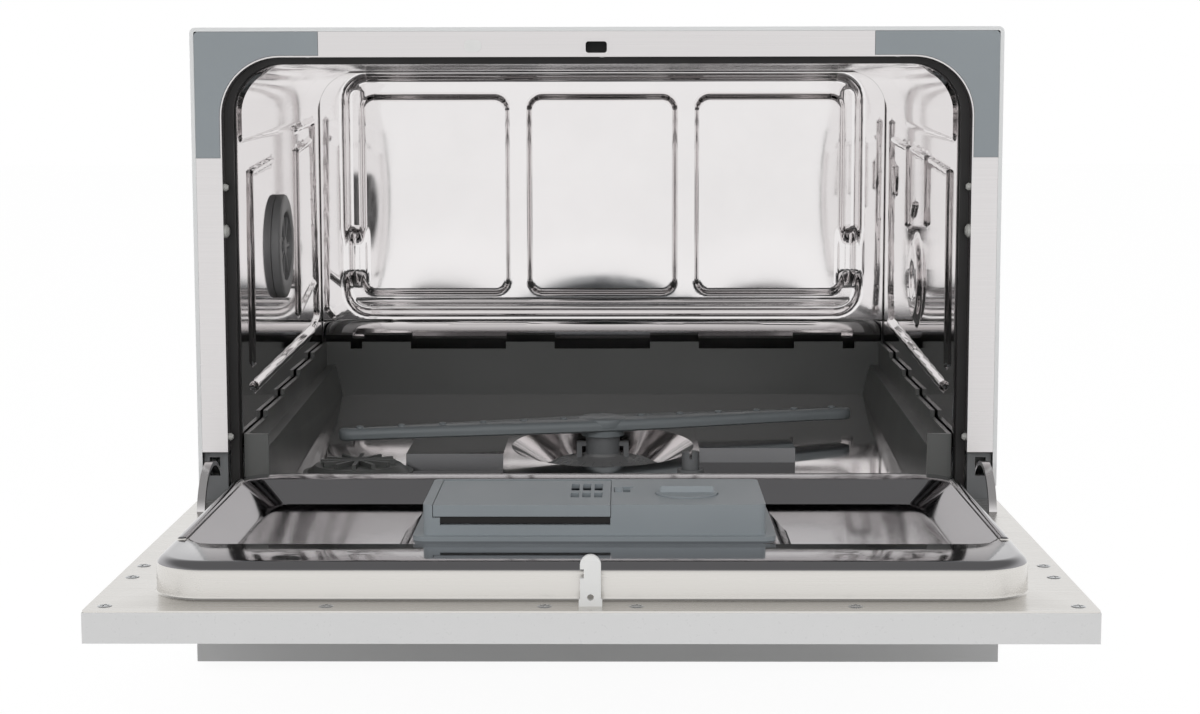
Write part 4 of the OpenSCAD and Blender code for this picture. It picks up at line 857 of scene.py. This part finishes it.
def build_vent():
    """Vent nut: a broad ring on the wall with a sunk grille of radial bars."""
    low, high = VENT_LOW, VENT_HIGH
    cy, cz = (low[1] + high[1]) / 2, (low[2] + high[2]) / 2
    r = (high[1] - low[1]) / 2
    wall, front = -TUB_HALF, high[0]
    profile = ((1.0, wall + 0.2 * MM), (1.0, front - 2.2 * MM), (0.985, front - 0.9 * MM),
               (0.94, front - 0.1 * MM), (0.90, front), (0.70, front), (0.665, front - 0.5 * MM),
               (0.65, front - 1.5 * MM), (0.64, front - 4.6 * MM), (0.2, front - 4.6 * MM),
               (0.19, front - 2 * MM), (0.17, front - 1.2 * MM))
    rings = [[Vector((x, cy + r * share * math.cos(2 * math.pi * i / VENT_POINTS),
                      cz + r * share * math.sin(2 * math.pi * i / VENT_POINTS)))
              for i in range(VENT_POINTS)] for share, x in profile]
    points, faces = loft(rings, True, True)
    for k in range(VENT_BARS):
        a = 2 * math.pi * k / VENT_BARS
        bar = []
        for width, x in ((2.2, front - 4.8 * MM), (2.0, front - 2.2 * MM), (1.2, front - 1.6 * MM)):
            outline = []
            for along, side in ((0.15, -1), (0.66, -1), (0.66, 1), (0.15, 1)):
                across = side * width * MM * (0.6 + along)
                outline.append(Vector((x, cy + r * along * math.cos(a) - across * math.sin(a),
                                       cz + r * along * math.sin(a) + across * math.cos(a))))
            bar.append(outline)
        more, more_faces = loft(bar, True, True)
        points, faces = joined(points, faces, more, more_faces)
    mesh_piece("vent_ring", points, faces, "vent_plastic", "cabinet",
               ["vent_nut"], 35)


def build_flap_gap_shade():
    """Black strip in the gap under the front edge of the dispenser's flap: painted shade for the dark
    depth of the gap.
    """
    low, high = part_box("dispenser_flap")
    x0, x1 = low[0] + 5 * MM, high[0] - 3.5 * MM
    top = low[2] - 0.3 * MM
    front = HOUSING_LOW[1] + HOUSING_SKIRT + 0.4 * MM
    outline = [(0, 0), (0, -3.6), (0.8, -4.2), (3, -4.2), (3, 0)]
    points = []
    for x in (x0, x0 + 0.6 * MM, x1 - 0.6 * MM, x1):
        grow = 0.0 if x in (x0, x1) else 0.3
        for back, up in outline:
            points.append((x, front + (back - grow) * MM, top + up * MM))
    faces = grid_faces(4, len(outline), True)
    faces += [tuple(range(len(outline))), tuple(range(3 * len(outline), 4 * len(outline)))]
    mesh_piece("flap_gap_shade", points, faces, "rubber", "door")


# Finishes of the CAD nodes that keep their mesh.

# A face of the floor that leans forward more than this is the front of a block and gets the darker steel
# as painted shade.
PAINTED_SHADE_LEAN = -0.62


def finish_node(node, finish):
    """A better material on a CAD node; the fronts of the floor's blocks get a darker steel, which is
    painted shade.
    """
    for place in node.material_slots:
        place.material = FINISHES[finish]
    if not node.material_slots:
        node.data.materials.append(FINISHES[finish])
    # Faces that lean forward get the darker steel: painted shade.
    if finish == "floor_steel":
        node.data.materials.append(FINISHES["shade_steel"])
        shade = len(node.data.materials) - 1
        for face in node.data.polygons:
            if face.normal.y < PAINTED_SHADE_LEAN:
                face.material_index = shade


CAD_FINISHES = {
    "case_paint": ["outer_case"],
    "door_paint": ["door_panel", "door_fascia"],
    "frame_steel": ["front_frame"],
    "floor_steel": ["tub_floor"],
    "zinc_steel": ["rear_panel", "hinge_bracket_left", "hinge_bracket_right", "heater"],
    "strap_steel": ["hinge_arm_left", "hinge_arm_right"],
    "trim_steel": ["latch_escutcheon"],
    "cover_plastic": ["corner_cover_left", "corner_cover_right",
                      "dispenser_housing", "dispenser_flap", "rinse_dial", "flap_latch"],
    "grey_plastic": ["hinge_cover_left", "hinge_cover_right",
                     "spray_hub", "filter", "float_housing", "float"],
    "plinth_paint": ["kick_plate"],
    "dark_plastic": ["base_tray", "tub_base", "sump", "salt_cap", "door_lock",
                     "circulation_pump", "drain_outlet"],
    "black_plastic": ["drain_pump", "power_inlet"],
    "white_plastic": ["frame_plug", "salt_container", "air_break", "inlet_valve",
                      "latch_hook", "button_power", "button_program", "button_delay",
                      "button_start"],
    "stud_plastic": ["rack_studs"],
    "window_black": ["display_window"],
    "rubber": ["foot_front_left", "foot_front_right", "foot_rear_left", "foot_rear_right",
               "door_gasket", "bottom_seal"],
    "board_green": ["control_board"],
}


# Stage.

CAMERA_PLACE = (16.9 * MM, -1542.3 * MM + FRONT_PLANE, 389.9 * MM)
CAMERA_PITCH = math.radians(6.507)
CAMERA_YAW = math.radians(-0.546)
CAMERA_ROLL = math.radians(-0.093)
CAMERA_LENS = 67.95
WORKTOP_HALF = 12.0
WORKTOP_COLOUR = (0.85, 0.85, 0.85, 1)
WORKTOP_GLOW, WORKTOP_GLOW_SHARE = 1.07, 0.88
WHITE = (1, 1, 1, 1)
# The surroundings are white up to the first rise and have the overhead light above the second.
HORIZON_RISE = 0.25
OVERHEAD_RISE = 0.75
OVERHEAD_LIGHT = 0.3


def build_camera():
    """The photograph's view."""
    pitch, yaw, roll = CAMERA_PITCH, CAMERA_YAW, CAMERA_ROLL
    forward = Vector((math.sin(yaw) * math.cos(pitch), math.cos(yaw) * math.cos(pitch),
                      -math.sin(pitch)))
    level = Vector((math.cos(yaw), -math.sin(yaw), 0))
    upright = level.cross(forward)
    right = level * math.cos(roll) + upright * math.sin(roll)
    up = upright * math.cos(roll) - level * math.sin(roll)
    data = bpy.data.cameras.new("photo_camera")
    data.sensor_width = 36
    data.lens = CAMERA_LENS
    data.clip_end = 100
    camera = bpy.data.objects.new("photo_camera", data)
    turn = Matrix((right, up, -forward)).transposed().to_4x4()
    camera.matrix_world = Matrix.Translation(CAMERA_PLACE) @ turn
    bpy.context.scene.collection.objects.link(camera)
    bpy.context.scene.camera = camera


def build_floor():
    """Pale worktop that stays near white in view and keeps the object's shadow."""
    mesh = bpy.data.meshes.new("worktop")
    r = WORKTOP_HALF
    mesh.from_pydata([(-r, -r, 0), (r, -r, 0), (r, r, 0), (-r, r, 0)], [], [(0, 1, 2, 3)])
    floor = bpy.data.objects.new("worktop", mesh)
    bpy.context.scene.collection.objects.link(floor)
    material, nodes, links, shader = new_material("worktop_white")
    shader.inputs["Base Color"].default_value = WORKTOP_COLOUR
    shader.inputs["Roughness"].default_value = 0.8
    glow = nodes.new("ShaderNodeEmission")
    glow.inputs["Color"].default_value = WHITE
    glow.inputs["Strength"].default_value = WORKTOP_GLOW
    path = nodes.new("ShaderNodeLightPath")
    share = nodes.new("ShaderNodeMath")
    share.operation = "MULTIPLY"
    share.inputs[1].default_value = WORKTOP_GLOW_SHARE
    either = nodes.new("ShaderNodeMath")
    either.operation = "MAXIMUM"
    links.new(path.outputs["Is Camera Ray"], either.inputs[0])
    links.new(path.outputs["Is Glossy Ray"], either.inputs[1])
    links.new(either.outputs["Value"], share.inputs[0])
    mix = nodes.new("ShaderNodeMixShader")
    links.new(share.outputs["Value"], mix.inputs["Fac"])
    links.new(shader.outputs["BSDF"], mix.inputs[1])
    links.new(glow.outputs["Emission"], mix.inputs[2])
    links.new(mix.outputs["Shader"], nodes["Material Output"].inputs["Surface"])
    mesh.materials.append(material)


def build_world():
    """White surroundings in view; the light comes from all round and weakens overhead."""
    world = bpy.data.worlds.new("studio")
    bpy.context.scene.world = world
    world.use_nodes = True
    nodes, links = world.node_tree.nodes, world.node_tree.links
    light = nodes["Background"]
    coords = nodes.new("ShaderNodeTexCoord")
    parts = nodes.new("ShaderNodeSeparateXYZ")
    links.new(coords.outputs["Generated"], parts.inputs["Vector"])
    ramp = nodes.new("ShaderNodeValToRGB")
    ramp.color_ramp.interpolation = "EASE"
    first, last = ramp.color_ramp.elements
    first.position, last.position = HORIZON_RISE, OVERHEAD_RISE
    first.color = WHITE
    last.color = (OVERHEAD_LIGHT, OVERHEAD_LIGHT, OVERHEAD_LIGHT, 1)
    links.new(parts.outputs["Z"], ramp.inputs["Fac"])
    links.new(ramp.outputs["Color"], light.inputs["Color"])
    light.inputs["Strength"].default_value = 1.0
    seen = nodes.new("ShaderNodeBackground")
    seen.inputs["Color"].default_value = WHITE
    seen.inputs["Strength"].default_value = 1.0
    path = nodes.new("ShaderNodeLightPath")
    mix = nodes.new("ShaderNodeMixShader")
    links.new(path.outputs["Is Camera Ray"], mix.inputs["Fac"])
    links.new(light.outputs["Background"], mix.inputs[1])
    links.new(seen.outputs["Background"], mix.inputs[2])
    links.new(mix.outputs["Shader"], nodes["World Output"].inputs["Surface"])


def soft_lamp(name, place, target, size, power):
    """A large area lamp aimed at a point."""
    data = bpy.data.lights.new(name, "AREA")
    data.shape = "RECTANGLE"
    data.size, data.size_y = size
    data.energy = power
    lamp = bpy.data.objects.new(name, data)
    lamp.location = place
    lamp.visible_glossy = False
    aim = Vector(target) - Vector(place)
    lamp.rotation_euler = aim.to_track_quat("-Z", "Y").to_euler()
    bpy.context.scene.collection.objects.link(lamp)


class DISHWASHER_OT_stage(bpy.types.Operator):
    """Adds the worktop, the soft light and the camera"""
    bl_idname = "dishwasher.stage"
    bl_label = "Stage"

    def execute(self, context):
        build_camera()
        build_floor()
        build_world()
        soft_lamp("lamp_front", (0, -2.6, 1.5), (0, 0, 0.2), (3.2, 2.4), 24)
        soft_lamp("lamp_top", (0, -0.2, 2.6), (0, 0, 0.2), (2.6, 2.0), 3)
        context.scene.view_settings.view_transform = "Standard"
        return {"FINISHED"}


class DISHWASHER_OT_finishes(bpy.types.Operator):
    """Makes the materials and puts them on the pieces that keep their solid"""
    bl_idname = "dishwasher.finishes"
    bl_label = "Finishes"

    def execute(self, context):
        make_finishes()
        for finish, names in CAD_FINISHES.items():
            for name in names:
                finish_node(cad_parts[name], finish)
        return {"FINISHED"}


class DISHWASHER_OT_tub(bpy.types.Operator):
    """Adds the bent tub sheet, the pressed back panel and the vent"""
    bl_idname = "dishwasher.tub"
    bl_label = "Tub"

    def execute(self, context):
        build_tub()
        build_tub_back()
        build_vent()
        return {"FINISHED"}


class DISHWASHER_OT_liner(bpy.types.Operator):
    """Adds the pressed door liner, its screws and a black strip of painted shade in the gap under the
    flap
    """
    bl_idname = "dishwasher.liner"
    bl_label = "Door liner"

    def execute(self, context):
        build_liner()
        build_screws()
        build_flap_gap_shade()
        return {"FINISHED"}


class DISHWASHER_OT_arm(bpy.types.Operator):
    """Adds the spray arm and the bell round its foot"""
    bl_idname = "dishwasher.arm"
    bl_label = "Spray arm"

    def execute(self, context):
        build_arm()
        build_bell()
        return {"FINISHED"}


class DISHWASHER_PT_panel(bpy.types.Panel):
    """Lists the pieces of the dishwasher"""
    bl_label = "Dishwasher"
    bl_idname = "DISHWASHER_PT_panel"
    bl_space_type = "VIEW_3D"
    bl_region_type = "UI"
    bl_category = "Dishwasher"

    def draw(self, context):
        for group in (context.scene.dishwasher_sizes, context.scene.dishwasher_colours):
            for name in group.__annotations__:
                self.layout.prop(group, name)
        for operator in OPERATORS:
            self.layout.operator(operator.bl_idname)


OPERATORS = (
    DISHWASHER_OT_finishes,
    DISHWASHER_OT_tub,
    DISHWASHER_OT_liner,
    DISHWASHER_OT_arm,
    DISHWASHER_OT_stage,
)
CLASSES = (DishwasherSizes, DishwasherColours) + OPERATORS + (DISHWASHER_PT_panel,)


def register():
    for cls in CLASSES:
        bpy.utils.register_class(cls)
    bpy.types.Scene.dishwasher_sizes = PointerProperty(type=DishwasherSizes)
    bpy.types.Scene.dishwasher_colours = PointerProperty(type=DishwasherColours)


def unregister():
    del bpy.types.Scene.dishwasher_colours
    del bpy.types.Scene.dishwasher_sizes
    for cls in reversed(CLASSES):
        bpy.utils.unregister_class(cls)


def main():
    register()
    bpy.ops.dishwasher.finishes()
    bpy.ops.dishwasher.tub()
    bpy.ops.dishwasher.liner()
    bpy.ops.dishwasher.arm()
    bpy.ops.dishwasher.stage()


if __name__ == "__main__":
    main()
